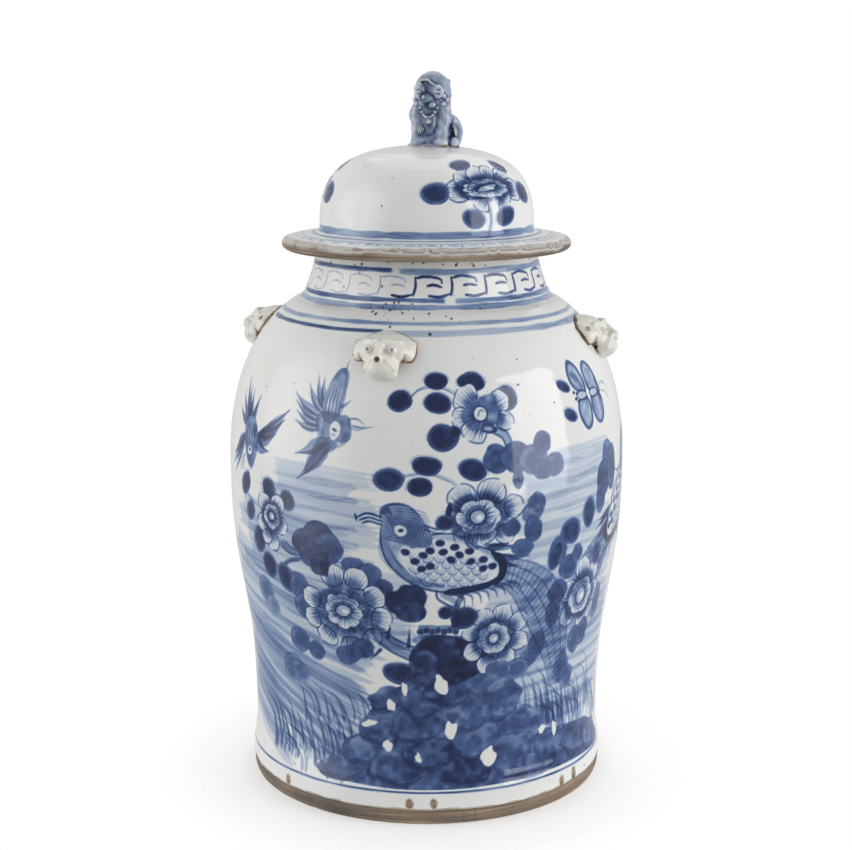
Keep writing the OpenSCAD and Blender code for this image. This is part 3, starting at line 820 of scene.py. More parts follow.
def left_branch(canvas):
    """The large peony at the left on its thorny branch."""
    petals = [
        (-6, 24, 17, 15), (10, 23, 17, 14), (22, 12, 16, 13), (26, -4, 18, 14), (19, -17, 15, 12),
        (4, -25, 17, 15), (-14, -19, 17, 12), (-24, -8, 15, 12), (-23, 6, 15, 14),
    ]
    cloud_leaves(canvas, [(-88, 157, 16, 19), (-86, 143, 15, 18)], seed=51)
    cloud_leaves(canvas, [(-46, 176, 16, 13), (-36, 171, 17, 16), (-27, 161, 12, 17)], seed=52)
    cloud_leaves(
        canvas, [(-17, 154, 18, 16), (-10, 157, 19, 19), (-10, 148, 20, 15), (-21, 157, 10, 8)], seed=53,
        depth=0.95
    )
    flower(canvas, -55, 145, petals, (14, 12.5), (6.5, 4.2), seed=22, lobes=8)
    cloud_leaves(canvas, [(-55, 114, 17, 13), (-43, 120, 15, 14), (-50, 116, 12, 12)], seed=54)
    cloud_leaves(canvas, [(-94, 118, 17, 18), (-80, 113, 14, 13)], seed=55)
    cloud_leaves(
        canvas, [(-104, 98, 20, 15), (-98, 95, 18, 14), (-107, 92, 16, 10)], seed=56, depth=0.55, blur=2.0
    )
    cloud_leaves(
        canvas,
        [(-80, 188, 22, 18), (-70, 193, 24, 21), (-63, 186, 21, 20), (-72, 180, 26, 18), (-70, 174, 14, 14)],
        seed=57, depth=0.85
    )
    pen = Pen(canvas, seed=58)
    pen.line([(-68, 176), (-65, 168)], 4.5, 0.75, thin=0.5)
    branch(
        canvas, [(-34, 133), (-22, 124), (-6, 117)],
        [((-26, 128), (-23, 140)), ((-12, 122), (-11, 137)), ((-30, 121), (-38, 113))], 12, seed=59
    )
    sprig(canvas, None, [(-18, 104, 24, 16, -10), (-8, 100, 14, 12, 0)], seed=60)


def edge_flower(canvas):
    """The small flower near the left edge, on its own arched twig."""
    sprig(
        canvas, [(-146, 216), (-134, 207), (-124, 204)], [(-140, 216, 18, 12, 60), (-134, 199, 14, 11, 60)],
        seed=61, depth=0.9
    )
    sprig(
        canvas, None, [(-111, 218, 15, 13, -60), (-94, 213, 14, 12, -50), (-124, 181, 19, 14, 80)], seed=62,
        depth=0.9
    )
    petals = [
        (-8, 8, 13, 12), (6, 9, 13, 12), (9, -5, 12, 11), (-9, -6, 13, 12), (0, -17, 13, 12),
        (-6, -15, 10, 10)
    ]
    flower(canvas, -109, 200, petals, (8.5, 8.5), (3.2, 3.2), seed=63, lobes=5)
    twig(canvas, [(-100, 184), (-92, 180), (-84, 180)], 2.4, seed=64)
    twig(canvas, [(-84, 176), (-96, 172), (-104, 164)], 1.4, seed=65)
    sprig(canvas, None, [(-115, 166, 18, 14, -60), (-99, 160, 20, 15, -70)], seed=66, depth=0.85)
    cloud_leaves(canvas, [(-124, 146, 18, 20), (-118, 136, 14, 16)], seed=67, depth=0.5, blur=1.6)


def low_flower(canvas):
    """The peony under the pheasant's tail."""
    petals = [
        (-8, 15, 14, 13), (5, 17, 14, 12), (17, 10, 14, 14), (19, -4, 14, 14), (10, -15, 14, 14),
        (-4, -18, 14, 13), (-14, -8, 13, 13), (-16, 5, 12, 12)
    ]
    flower(canvas, 45, 127, petals, (12, 11), (3.6, 3.6), seed=23, lobes=7, tone=0.8)
    sprig(canvas, None, [(12, 147, 10, 9, 0), (24, 143, 18, 15, 0)], seed=68)
    cloud_leaves(
        canvas, [(79, 117, 14, 18), (73, 109, 15, 13), (64, 103, 20, 14), (50, 104, 19, 13)], seed=69,
        depth=0.68
    )


def right_flower(canvas):
    """The peony and leaves that go round the right side."""
    petals = [
        (-2, 20, 15, 15), (11, 14, 15, 14), (16, 0, 15, 12), (8, -16, 18, 14), (-12, -12, 16, 14),
        (-14, 6, 16, 13)
    ]
    flower(canvas, 117, 144, petals, (13, 13), (5.6, 7.2), seed=24, lobes=6, tone=0.82)
    cloud_leaves(
        canvas,
        [(89, 180, 15, 20), (99, 168, 17, 18), (92, 152, 17, 18), (90, 137, 13, 20), (107, 176, 10, 12)],
        seed=70, depth=0.7
    )
    sprig(
        canvas, None,
        [(130, 170, 12, 16, 0), (117, 201, 13, 20, 0), (99, 192, 18, 18, 20), (87, 178, 12, 20, -20)],
        seed=71, depth=0.8
    )
    cloud_leaves(canvas, [(118, 113, 16, 20), (127, 116, 14, 20), (142, 134, 12, 26)], seed=72, depth=0.62)
    cloud_leaves(canvas, [(106, 96, 15, 22), (112, 88, 16, 16)], seed=73, depth=0.6, blur=1.0)


def right_pheasant(canvas):
    """A second pheasant that leaves round the side, its tail pointing down to the left."""
    pheasant(
        canvas, 170, 206, 0.95, 28, True, seed=74,
        tail=[(34, -7), (50, -14), (66, -20), (84, -26), (102, -34)]
    )
    cloud_leaves(
        canvas, [(140, 232, 15, 26), (134, 220, 16, 26), (131, 208, 12, 20), (147, 226, 14, 30)], seed=75,
        depth=0.72
    )


def ground(canvas):
    """Grasses, and the garden rock with its holes."""
    clump(canvas, -132, -52, 32, 36, -16, seed=26)
    clump(canvas, -94, -24, 58, 34, -15, seed=27, depth=0.36, spacing=4.2)
    clump(canvas, -122, -60, 26, 22, -10, seed=28, depth=0.34, spacing=4)
    clump(canvas, 52, 112, 50, 44, -13, seed=29, depth=0.4, spacing=2.2)
    clump(canvas, 84, 176, 46, 44, -12, seed=30, depth=0.36, spacing=2.4)
    outline = [
        (-78, 27), (-80, 33), (-66, 42), (-60, 54), (-46, 62), (-42, 74), (-34, 84), (-26, 92), (-12, 100),
        (-9, 122),
        (6, 130), (26, 130), (36, 122), (40, 108), (48, 98), (56, 84), (66, 74), (78, 68), (88, 58),
        (104, 54),
        (126, 52), (148, 48), (166, 40), (176, 25), (120, 26), (76, 26), (22, 25), (-20, 25), (-50, 26),
    ]
    stones = [
        (-62, 36, 40, 16, 10, 0.62), (-46, 50, 34, 20, 20, 0.6), (-30, 66, 36, 22, 10, 0.66),
        (-28, 86, 26, 16, 20, 0.72),
        (54, 84, 30, 32, 10, 0.62), (72, 62, 38, 26, 0, 0.6), (66, 44, 46, 30, 0, 0.66),
        (100, 44, 40, 22, 0, 0.66),
        (132, 40, 44, 22, 0, 0.7), (156, 36, 30, 18, 0, 0.62), (86, 34, 44, 16, 0, 0.72),
        (30, 38, 40, 20, 0, 0.86),
        (-20, 40, 44, 24, 0, 0.72), (2, 50, 40, 22, 0, 0.84), (34, 58, 36, 24, 0, 0.66),
        (-8, 68, 34, 22, 0, 0.74),
        (26, 78, 40, 26, -8, 0.66), (-6, 86, 30, 24, 0, 0.7), (14, 92, 30, 18, 0, 0.78),
        (16, 114, 50, 34, -4, 1.02), (0, 108, 24, 24, 0, 0.92),
    ]
    gaps = [
        (-15, 94, 4, 8), (10, 97, 8, 12), (-25, 82, 6, 8), (-41, 68, 10, 4), (17, 65, 9, 11), (-28, 54, 6, 7),
        (-6, 46, 4, 6), (44, 45, 11, 11), (89, 56, 6, 5), (102, 54, 4, 9),
    ]
    rocks(canvas, outline, stones, gaps, seed=20)
    pen = Pen(canvas, seed=76)
    pen.fill(oval(1, 128, 20, 9), 0.5, over=False, blur=1.0, mottle=0.9)


def back_scene(canvas):
    """The far side: the same garden again, with a pheasant on a smaller rock between two washes."""
    mid = 0.5 * canvas.step * canvas.columns
    wash(canvas, mid - 126, mid - 20, 146, 232, -0.04, 0.17, seed=101, ragged=46)
    wash(canvas, mid - 154, mid - 10, 66, 154, -0.14, 0.2, seed=102, ragged=50)
    wash(canvas, mid + 20, mid + 118, 80, 200, 0.05, 0.16, seed=103, ragged=44)
    wash(canvas, mid + 110, mid + 190, 96, 172, 0.06, 0.14, seed=122, ragged=40)
    flying_bird(canvas, mid - 92, 268, 0.95, seed=104)
    butterfly(canvas, mid + 92, 276, 0.9, seed=105)
    sprig(canvas, [(mid - 30, 276), (mid - 14, 284), (mid + 4, 280), (mid + 16, 270)],
          [
              (mid - 36, 275, 16, 13, 10), (mid - 18, 292, 17, 11, 0), (mid - 10, 274, 17, 12, 0),
              (mid + 6, 290, 18, 12, 0), (mid + 38, 276, 15, 14, 0)
          ], seed=106)
    bud_flower(canvas, mid + 20, 266, seed=107)
    twig(canvas, [(mid + 28, 256), (mid + 34, 248), (mid + 36, 236)], 2.2, seed=108)
    cloud_leaves(
        canvas, [(mid + 30, 236, 20, 18), (mid + 44, 234, 20, 18), (mid + 54, 226, 16, 16)], seed=109
    )
    petals = [
        (-8, 22, 18, 15), (9, 22, 18, 15), (23, 10, 16, 14), (24, -7, 16, 14), (10, -20, 17, 14),
        (-9, -21, 17, 14), (-22, -7, 16, 13), (-22, 9, 16, 13)
    ]
    flower(canvas, mid - 46, 198, petals, (14, 12), (6, 4.4), seed=110, lobes=7)
    cloud_leaves(
        canvas,
        [(mid - 82, 206, 16, 16), (mid - 80, 190, 16, 16), (mid - 12, 206, 18, 15), (mid - 14, 190, 17, 16)],
        seed=111
    )
    cloud_leaves(canvas, [(mid - 60, 166, 17, 13), (mid - 44, 162, 15, 14)], seed=112)
    flower(canvas, mid + 74, 158, petals, (13, 12), (5, 5), seed=113, lobes=6, tone=0.82, size=0.85)
    cloud_leaves(
        canvas,
        [
            (mid + 44, 166, 15, 18), (mid + 42, 150, 15, 14), (mid + 104, 150, 14, 18),
            (mid + 98, 176, 13, 16), (mid + 70, 186, 16, 13)
        ],
        seed=114
    )
    pheasant(canvas, mid + 12, 172, 0.92, 0, True, seed=115)
    flower(canvas, mid + 146, 214, petals, (13, 11), (5, 4), seed=119, lobes=7, tone=0.86, size=0.8)
    sprig(
        canvas, [(mid + 146, 236), (mid + 138, 250), (mid + 146, 262)],
        [(mid + 130, 250, 17, 12, 30), (mid + 150, 268, 17, 12, 10), (mid + 158, 248, 16, 12, -20)],
        seed=120
    )
    cloud_leaves(
        canvas, [(mid + 172, 216, 15, 18), (mid + 166, 200, 15, 15), (mid + 124, 190, 16, 14)], seed=121
    )
    clump(canvas, mid - 130, mid - 60, 30, 46, -14, seed=116)
    clump(canvas, mid + 40, mid + 176, 34, 44, 12, seed=117, depth=0.42)
    outline = [
        (-74, 27), (-60, 44), (-44, 52), (-38, 74), (-24, 92), (-16, 116), (0, 122), (24, 120), (34, 108),
        (40, 84), (52, 62), (74, 52), (94, 44), (104, 27), (60, 25), (0, 25), (-40, 25)
    ]
    stones = [
        (-52, 38, 36, 18, 10, 0.62), (-30, 56, 34, 24, 12, 0.66), (60, 44, 40, 24, 0, 0.62),
        (84, 36, 30, 16, 0, 0.66),
        (20, 40, 44, 22, 0, 0.82), (-12, 46, 36, 24, 0, 0.72), (30, 66, 32, 26, 0, 0.66),
        (-8, 76, 36, 26, 0, 0.72),
        (16, 86, 32, 22, 0, 0.7), (6, 108, 42, 28, -4, 1.0),
    ]
    gaps = [(-18, 88, 5, 8), (8, 92, 7, 10), (34, 50, 8, 9), (-34, 44, 6, 6), (0, 58, 6, 6)]
    outline, stones, gaps = ([(row[0] + mid, *row[1:]) for row in rows] for rows in (outline, stones, gaps))
    rocks(canvas, outline, stones, gaps, seed=118)


def lines_and_neck(canvas):
    """The rings round the foot, the shoulder and the neck, and the key fret between the neck's rings."""
    ring_line(canvas, 22.8, 1.2, 0.75, seed=30, patchy=0.15)
    shoulder = canvas.at_radius(103)
    ring_line(shoulder, 321.6, 2.0, 0.75, seed=31, patchy=0.2, start=-84, end=-15)
    ring_line(shoulder, 320.8, 3.4, 0.3, seed=41, patchy=0.3, start=-14, end=262)
    ring_line(shoulder, 326.0, 2.0, 0.36, seed=32, patchy=0.4)
    neck = canvas.at_radius(80)
    ring_line(neck, 334.6, 3.2, 0.36, seed=42, patchy=0.4)
    ring_line(neck, 338.8, 2.8, 0.7, seed=33, patchy=0.25, start=-80, end=9)
    ring_line(neck, 338.4, 2.8, 0.5, seed=43, patchy=0.3, start=12, end=276)
    ring_line(neck, 357.2, 2.4, 0.66, seed=44, patchy=0.2, start=-84, end=-16)
    ring_line(neck, 356.4, 3.4, 0.34, seed=45, patchy=0.3, start=-14, end=262)
    key_fret(neck, 341.8, 353.6, 21, (-14, 100, 0.85), 0.28, 1.7, seed=34)


def bare_marks(canvas):
    """Where the clay shows: above the foot, at the lip, whose dark band is also the painted shadow under the
    lid's flange, and where fingers held the jar for dipping.
    """
    turn = canvas.around()[1]
    height = canvas.heights[:, None]
    edge = GLAZE_FOOT + (ring_noise(turn, 5, 2.4, 90) * 1.6 + ring_noise(turn, 30, 16, 91) * 0.8)
    canvas.strip(..., ramp(edge - height, -0.4, 0.5))
    # Bare clay at the lip, brought low enough that its dark band also paints the shadow under the lid's
    # flange.
    top = GLAZE_TOP_AND_SHADOW_LINE - 1.8 * ring_noise(turn, 8, 9, 99)
    canvas.strip(..., ramp(height - top, -0.4, 0.5))
    pen = Pen(canvas, seed=77)
    fingers = [
        (-12, 15.5, 5.5, 7), (5, 15.5, 5, 7), (108, 15, 5, 8.5), (123, 16, 5.5, 9.5),
        (-112, 15, 5, 7), (-233, 15, 5, 7), (-250, 15, 5, 8), (240, 15, 5, 7),
    ]
    for px, py, w, h in fingers:
        where, gx, gy, signed = pen.fill(oval(px, py, w, h, 10 * pen.random.random()), 0.0, mottle=0)
        canvas.strip(where, ramp(signed + 0.8 * noise(gx, gy, 92) - 0.4, -0.3, 0.4))


def pit_patches(canvas):
    """Pinholes and burst bubbles, thick on the left of the shoulder, and a few strays."""
    random = np.random.default_rng(78)
    patches = [
        (-34, 333, 22, 4, 26), (-44, 327, 5, 2, 5), (40, 330, 60, 5, 14), (-10, 360, 90, 2.5, 40),
        (0, 300, 160, 18, 10),
    ]
    for middle_x, middle_y, spread_x, spread_y, count in patches:
        for _ in range(count):
            x, y = middle_x + spread_x * random.normal(), middle_y + spread_y * random.normal()
            canvas.pit(x, y, 0.6 + 1.7 * random.random() ** 2, 1.5, 0.9)


def paint_body(canvas):
    """The whole painting of the jar, from the palest washes to the specks."""
    water(canvas)
    back_scene(canvas)
    birds(canvas)
    upper_branch(canvas)
    butterfly(canvas, 124, 277, seed=19)
    edge_flower(canvas)
    left_branch(canvas)
    right_pheasant(canvas)
    ground(canvas)
    right_flower(canvas)
    low_flower(canvas)
    pheasant(canvas, 10, 185, 1.0, seed=21)
    middle_branch(canvas)
    lines_and_neck(canvas)
    bare_marks(canvas)
    pit_patches(canvas)


def lid_sprig(canvas, x, seed):
    """A peony on a stem with paired leaves; y runs along the lid's skin from its rim."""
    pen = Pen(canvas, seed=seed + 1)
    pen.line([(x, 56), (x + 1, 46), (x - 1, 36)], 1.6, 0.45, thin=0.7)
    pen.line([(x + 1.4, 56), (x + 2.4, 46), (x + 0.6, 36)], 0.8, 0.35, thin=0.7)
    petals = [
        (-22, -1, 16, 16), (-16, 8, 16, 15), (-5, 11, 17, 13), (8, 11, 17, 13), (18, 7, 16, 15),
        (24, -2, 16, 15), (13, -8, 18, 10), (-9, -8, 19, 10)
    ]
    flower(canvas, x + 2, 67, petals, (19, 6.6), (9.5, 2.4), seed=seed, lobes=10, tone=0.96)
    leaves = [
        (x - 35, 64, 19, 15, 10), (x + 38, 62, 16, 15, -15), (x - 12, 87, 20, 11, 10),
        (x + 26, 84, 16, 11, -35), (x - 11, 47, 16, 12, -20), (x + 14, 48, 17, 12, 20)
    ]
    for leaf in leaves:
        pen.dab(*leaf, 0.84)


def paint_lid(canvas):
    """Rings and short key marks on the flange, three peonies on the dome, and the worn bare edge."""
    top = canvas.at_radius(FLANGE_MIDDLE)
    foot = canvas.at_radius(73)
    dome = canvas.at_radius(DOME_WALL)
    ring_line(top, 24.0, 1.4, 0.3, seed=80, patchy=0.4)
    ring_line(foot, 31.2, 1.7, 0.6, seed=81, patchy=0.3)
    ring_line(foot, 37.0, 4.6, 0.42, seed=82, patchy=0.4)
    for k in range(KEY_MARKS):
        pen = Pen(top, k * 2 * math.pi * FLANGE_MIDDLE / KEY_MARKS, 17.5, seed=83 + k)
        j = 1.2 * (pen.random.random(6) - 0.5)
        tone = 0.3 + 0.35 * noise(0.7 * k, 0.5, 84)
        pen.line([(0, 4 + 0.4 * j[0]), (6 + j[1], 4.4)], 1.2, tone, thin=0.6)
        pen.line([(1 + j[2], 2), (6.5, 2.2 + 0.4 * j[3])], 1.1, 0.9 * tone, thin=0.6)
        pen.line([(8.5 + j[4], 0), (9.5, 5)], 1.1, tone, thin=0.6)
    for k, degrees in enumerate((34, 150, 258)):
        lid_sprig(dome, math.radians(degrees) * DOME_WALL, 85 + 10 * k)
    turn = canvas.around()[1]
    s = canvas.heights[:, None]
    wave = 3.4 * ring_noise(turn, 5, 2.5, 93) + 1.6 * ring_noise(turn, 30, 14, 94)
    worn = ring_noise(turn, 12, 5, 98)
    chips = noise(40 + 30 * np.cos(turn) + s / 3, 40 + 30 * np.sin(turn), 100)
    washed = ramp(1 + np.sin(turn), 0.22, 0.7)
    pale = ramp(s - 4.0 * worn, 8.5, 3.5) + 0.54 + 0.2 * ramp(chips, 0.5, 0.8) - 0.42 * washed
    canvas.bare[:] = ramp(RIM_EDGE + wave - s, -0.6, 1.0) * np.clip(pale, 0, 1)
    random = np.random.default_rng(95)
    for _ in range(26):
        x, y = 420 * random.random(), 24 + 80 * random.random()
        canvas.pit(x, y, 0.5 + 1.5 * random.random() ** 3)


# ---------------------------------------------------------------- shapes read from the frame


def stations(outside, *names):
    """Corners (radius, height), in mm, that a level ray meets first from outside or from the axis."""
    points, faces = [], []
    for name in names:
        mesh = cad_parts[name].data
        first = len(points)
        points += [v.co.copy() for v in mesh.vertices]
        faces += [[first + i for i in p.vertices] for p in mesh.polygons]
    tree = BVHTree.FromPolygons(points, faces)
    corners = sorted({(round(p.z / MM, 2), round(math.hypot(p.x, p.y) / MM, 1)) for p in points})
    found = []
    for z, r in corners:
        for nudge in (0.0, -0.02, 0.02):
            start = Vector((0.0, -1.0 if outside else 0.0, (z + nudge) * MM))
            hit = tree.ray_cast(start, Vector((0, 1 if outside else -1, 0)))[0]
            if hit is not None and abs(abs(hit.y) / MM - r) < 0.16:
                if not found or abs(found[-1][1] - z) > 0.2:
                    found.append((r, z))
                break
    return np.array(found)


def even_path(points, step):
    """The smooth curve through uneven points, cut into even steps."""
    p = np.asarray(points, float)
    s = np.r_[0, np.cumsum(np.hypot(*np.diff(p, axis=0).T))]
    gap = np.diff(s)
    slope = np.diff(p, axis=0) / gap[:, None]
    weight = (gap[1:] / (gap[:-1] + gap[1:]))[:, None]
    tangent = np.vstack([slope[:1], slope[:-1] * weight + slope[1:] * (1 - weight), slope[-1:]])
    at = np.linspace(0, s[-1], max(2, int(s[-1] / step)) + 1)
    k = np.clip(np.searchsorted(s, at, side="right") - 1, 0, len(gap) - 1)
    h = gap[k][:, None]
    t = ((at - s[k]) / gap[k])[:, None]
    return (
        (2 * t**3 - 3 * t**2 + 1) * p[k]
        + (t**3 - 2 * t**2 + t) * h * tangent[k]
        + (3 * t**2 - 2 * t**3) * p[k + 1]
        + (t**3 - t**2) * h * tangent[k + 1]
    )


def thrown_surface(azimuth, height, seed):
    """How far a hand-thrown wall stands off its true circle, in mm."""
    c, s = np.cos(azimuth), np.sin(azimuth)
    slow = noise(6 + 1.6 * c + height / 90, 6 + 1.6 * s, seed) - 0.5
    small = noise(30 + 7 * c + height / 22, 30 + 7 * s, seed + 1) - 0.5
    rings = noise(height / 7 + 0.6 * c, 4 + 0.3 * s, seed + 2) - 0.5
    return 0.9 * slow + 0.28 * small + 0.16 * rings


def mesh_object(name, points, quads, sheets):
    """A smooth mesh object from points in metres and four-sided faces, with the sheets as attributes."""
    mesh = bpy.data.meshes.new(name)
    mesh.vertices.add(len(points))
    mesh.vertices.foreach_set("co", points.astype(np.float32).reshape(-1))
    mesh.loops.add(quads.size)
    mesh.loops.foreach_set("vertex_index", quads.astype(np.int32).reshape(-1))
    mesh.polygons.add(len(quads))
    mesh.polygons.foreach_set("loop_start", (np.arange(len(quads)) * 4).astype(np.int32))
    mesh.polygons.foreach_set("loop_total", np.full(len(quads), 4, np.int32))
    mesh.update(calc_edges=True)
    for key, values in sheets.items():
        layer = mesh.attributes.new(key, "FLOAT", "POINT")
        layer.data.foreach_set("value", values.astype(np.float32).reshape(-1))
    mesh.shade_smooth()
    piece = bpy.data.objects.new(name, mesh)
    bpy.context.scene.collection.objects.link(piece)
    return piece


def columns_round(columns):
    """The azimuth of each column of a turned piece."""
    return np.arange(columns) / columns * 2 * math.pi + SCENE_TURN


def revolve(name, path, columns, sheets, wobble):
    """A closed skin of revolution from (radius, height) in mm, up the outside and back down the inside."""
    azimuth = columns_round(columns)
    radius, height = path[:, 0][:, None], path[:, 1][:, None]
    radius = radius + wobble * (radius > 0.5)
    grid = np.empty((len(path), columns, 3), np.float32)
    grid[..., 0] = radius * np.sin(azimuth) * MM
    grid[..., 1] = -radius * np.cos(azimuth) * MM
    grid[..., 2] = np.broadcast_to(height, grid.shape[:2]) * MM
    rows = len(path)
    i, j = np.meshgrid(np.arange(rows), np.arange(columns), indexing="ij")
    nxt, up = (j + 1) % columns, (i + 1) % rows
    corners = [i * columns + j, i * columns + nxt, up * columns + nxt, up * columns + j]
    quads = np.stack(corners, axis=-1).reshape(-1, 4)
    full = {}
    for key, sheet in sheets.items():
        full[key] = np.zeros((rows, columns), np.float32)
        full[key][: len(sheet)] = sheet
    return mesh_object(name, grid.reshape(-1, 3), quads, full)


# ---------------------------------------------------------------- materials


class Shader:
    """A small helper that builds a node material one named step at a time."""

    def __init__(self, name):
        self.material = bpy.data.materials.new(name)
        self.material.use_nodes = True
        self.tree = self.material.node_tree
        self.bsdf = self.tree.nodes["Principled BSDF"]
        self.coords = self.tree.nodes.new("ShaderNodeTexCoord").outputs["Object"]

    def plug(self, socket, value):
        if isinstance(value, bpy.types.NodeSocket):
            self.tree.links.new(value, socket)
        else:
            socket.default_value = value

    def node(self, kind, **settings):
        made = self.tree.nodes.new("ShaderNode" + kind)
        for key, value in settings.items():
            setattr(made, key, value)
        return made

    def attribute(self, name):
        return self.node("Attribute", attribute_name=name).outputs["Fac"]

    def math(self, operation, a, b=0.0, clamp=False):
        made = self.node("Math", operation=operation, use_clamp=clamp)
        self.plug(made.inputs[0], a)
        self.plug(made.inputs[1], b)
        return made.outputs[0]

    def times(self, a, b, clamp=False):
        return self.math("MULTIPLY", a, b, clamp)

    def plus(self, a, b, clamp=False):
        return self.math("ADD", a, b, clamp)

    def stretch(self, scale):
        made = self.node("Mapping")
        self.plug(made.inputs["Vector"], self.coords)
        made.inputs["Scale"].default_value = scale
        return made.outputs["Vector"]

    def noise(self, scale, detail=3.0, roughness=0.5, vector=None):
        made = self.node("TexNoise")
        self.plug(made.inputs["Vector"], vector or self.coords)
        made.inputs["Scale"].default_value = scale
        made.inputs["Detail"].default_value = detail
        made.inputs["Roughness"].default_value = roughness
        return made.outputs["Fac"]

    def specks(self, cells, size, share, seed=0.0):
        """Round spots: cells to the metre, largest radius in cells, and the share of cells that has one."""
        made = self.node("TexVoronoi")
        move = self.node("Mapping")
        self.plug(move.inputs["Vector"], self.coords)
        move.inputs["Location"].default_value = (seed, seed * 0.7, seed * 1.3)
        self.plug(made.inputs["Vector"], move.outputs["Vector"])
        made.inputs["Scale"].default_value = cells
        split = self.node("SeparateColor")
        self.plug(split.inputs[0], made.outputs["Color"])
        chosen = self.math("LESS_THAN", split.outputs[0], share)
        grown = self.times(split.outputs[1], size)
        near = self.span(made.outputs["Distance"], grown, self.times(grown, 0.55))
        return self.times(near, chosen)

    def span(self, value, low, high):
        """0 at low, 1 at high, smooth between."""
        made = self.node("MapRange", interpolation_type="SMOOTHSTEP")
        self.plug(made.inputs["Value"], value)
        self.plug(made.inputs["From Min"], low)
        self.plug(made.inputs["From Max"], high)
        return made.outputs["Result"]

    def mix(self, factor, a, b):
        made = self.node("Mix", data_type="RGBA")
        self.plug(made.inputs["Factor"], factor)
        self.plug(made.inputs[6], a)
        self.plug(made.inputs[7], b)
        return made.outputs[2]

    def colours(self, factor, stops):
        made = self.node("ValToRGB")
        self.plug(made.inputs["Fac"], factor)
        elements = made.color_ramp.elements
        while len(elements) < len(stops):
            elements.new(0.5)
        for element, (place, colour) in zip(elements, stops):
            element.position = place
            element.color = (*colour, 1.0)
        return made.outputs["Color"]

    def bump(self, height, distance):
        made = self.node("Bump")
        made.inputs["Distance"].default_value = distance
        made.inputs["Strength"].default_value = 1.0
        self.plug(made.inputs["Height"], height)
        return made.outputs["Normal"]


def srgb(r, g, b):
    """A colour given as 0 to 255 values on screen, as the linear values a shader takes."""
    linear = [(v / 255 / 12.92) if v <= 10 else ((v / 255 + 0.055) / 1.055) ** 2.4 for v in (r, g, b)]
    return tuple(round(v, 4) for v in linear)


COBALT_STOPS = [
    (0.0, srgb(236, 236, 234)),
    (0.12, srgb(193, 204, 219)),
    (0.32, srgb(127, 151, 188)),
    (0.52, srgb(72, 97, 147)),
    (0.78, srgb(31, 46, 90)),
    (1.0, srgb(17, 24, 50)),
]


CLAY_STOPS = [
    (0.34, srgb(58, 50, 44)),
    (0.46, srgb(104, 95, 87)),
    (0.56, srgb(139, 120, 100)),
    (0.7, srgb(192, 173, 148)),
]
CREAM_STOPS = [
    (0.05, srgb(236, 234, 226)),
    (0.4, srgb(226, 224, 216)),
    (0.75, srgb(204, 198, 182)),
    (1.0, srgb(168, 152, 124)),
]


def bare_clay(s):
    """The colour of fired clay where no glaze covers it, grey-brown to tan, and its turned streaks."""
    streaks = s.noise(1.0, 4.0, 0.6, s.stretch((14, 14, 620)))
    patches = s.noise(9.0, 3.0, 0.6)
    colour = s.colours(
        s.plus(s.times(streaks, 0.55), s.times(patches, 0.5)),
        CLAY_STOPS,
    )
    return colour, streaks


def painted_glaze(name):
    """White slip, cobalt painting and a clear glossy glaze, with iron specks, pits and bare edges."""
    s = Shader(name)
    grain = s.times(s.math("SUBTRACT", s.noise(900, 2.0), 0.5), 0.35)
    cobalt = s.attribute("cobalt")
    depth = s.times(cobalt, s.plus(grain, 1.0))
    painted = s.colours(s.times(depth, 0.80, clamp=True), COBALT_STOPS)
    cloud = s.noise(7.0, 4.0, 0.55)
    tint = s.colours(cloud, [(0.3, (0.93, 0.945, 0.96)), (0.55, (1.0, 1.0, 1.0)), (0.75, (1.0, 0.985, 0.96))])
    tinted = s.node("Mix", data_type="RGBA", blend_type="MULTIPLY")
    tinted.inputs["Factor"].default_value = 1.0
    s.plug(tinted.inputs[6], painted)
    s.plug(tinted.inputs[7], tint)
    small = s.specks(330, 0.17, 0.3, 1.0)
    middle = s.specks(130, 0.11, 0.42, 3.0)
    large = s.specks(46, 0.05, 0.34, 5.0)
    iron = s.math("MAXIMUM", s.math("MAXIMUM", s.times(small, 0.6), middle), large, clamp=True)
    speckled = s.mix(iron, tinted.outputs[2], (*srgb(62, 48, 44), 1))
    pits = s.attribute("pits")
    pitted = s.mix(pits, speckled, (*srgb(70, 50, 38), 1))
    clay, streaks = bare_clay(s)
    bare = s.attribute("bare")
    rusty = s.times(s.span(bare, 0.0, 0.2), s.span(bare, 0.42, 0.2))
    edged = s.mix(s.times(rusty, 0.7), s.mix(bare, pitted, clay), (*srgb(92, 68, 50), 1))
    s.plug(s.bsdf.inputs["Base Color"], edged)
    gloss = s.plus(s.times(s.noise(60, 3.0), 0.06), 0.07)
    dull = s.plus(s.times(bare, 0.62), s.times(pits, 0.4))
    s.plug(s.bsdf.inputs["Roughness"], s.plus(gloss, dull, clamp=True))
    s.bsdf.inputs["IOR"].default_value = 1.52
    orange_peel = s.plus(s.times(s.noise(140, 2.0), 0.5), s.times(s.noise(36, 2.0), 1.5))
    height = s.math("SUBTRACT", orange_peel, s.plus(s.times(iron, 0.5), pits))
    height = s.plus(height, s.times(bare, s.times(streaks, 1.2)))
    s.plug(s.bsdf.inputs["Normal"], s.bump(height, 0.00022))
    return s.material


def clay_material(name):
    """Bare fired clay all over."""
    s = Shader(name)
    clay, streaks = bare_clay(s)
    s.plug(s.bsdf.inputs["Base Color"], clay)
    s.plug(s.bsdf.inputs["Roughness"], s.plus(s.times(streaks, 0.2), 0.62))
    fine = s.plus(s.times(s.noise(700, 2.0), 0.5), streaks)
    s.plug(s.bsdf.inputs["Normal"], s.bump(fine, 0.0003))
    return s.material


# ---------------------------------------------------------------- modelled clay: lugs and lion-dog


CLAY_STEP = 0.42  # mm between the points of a clay's grid


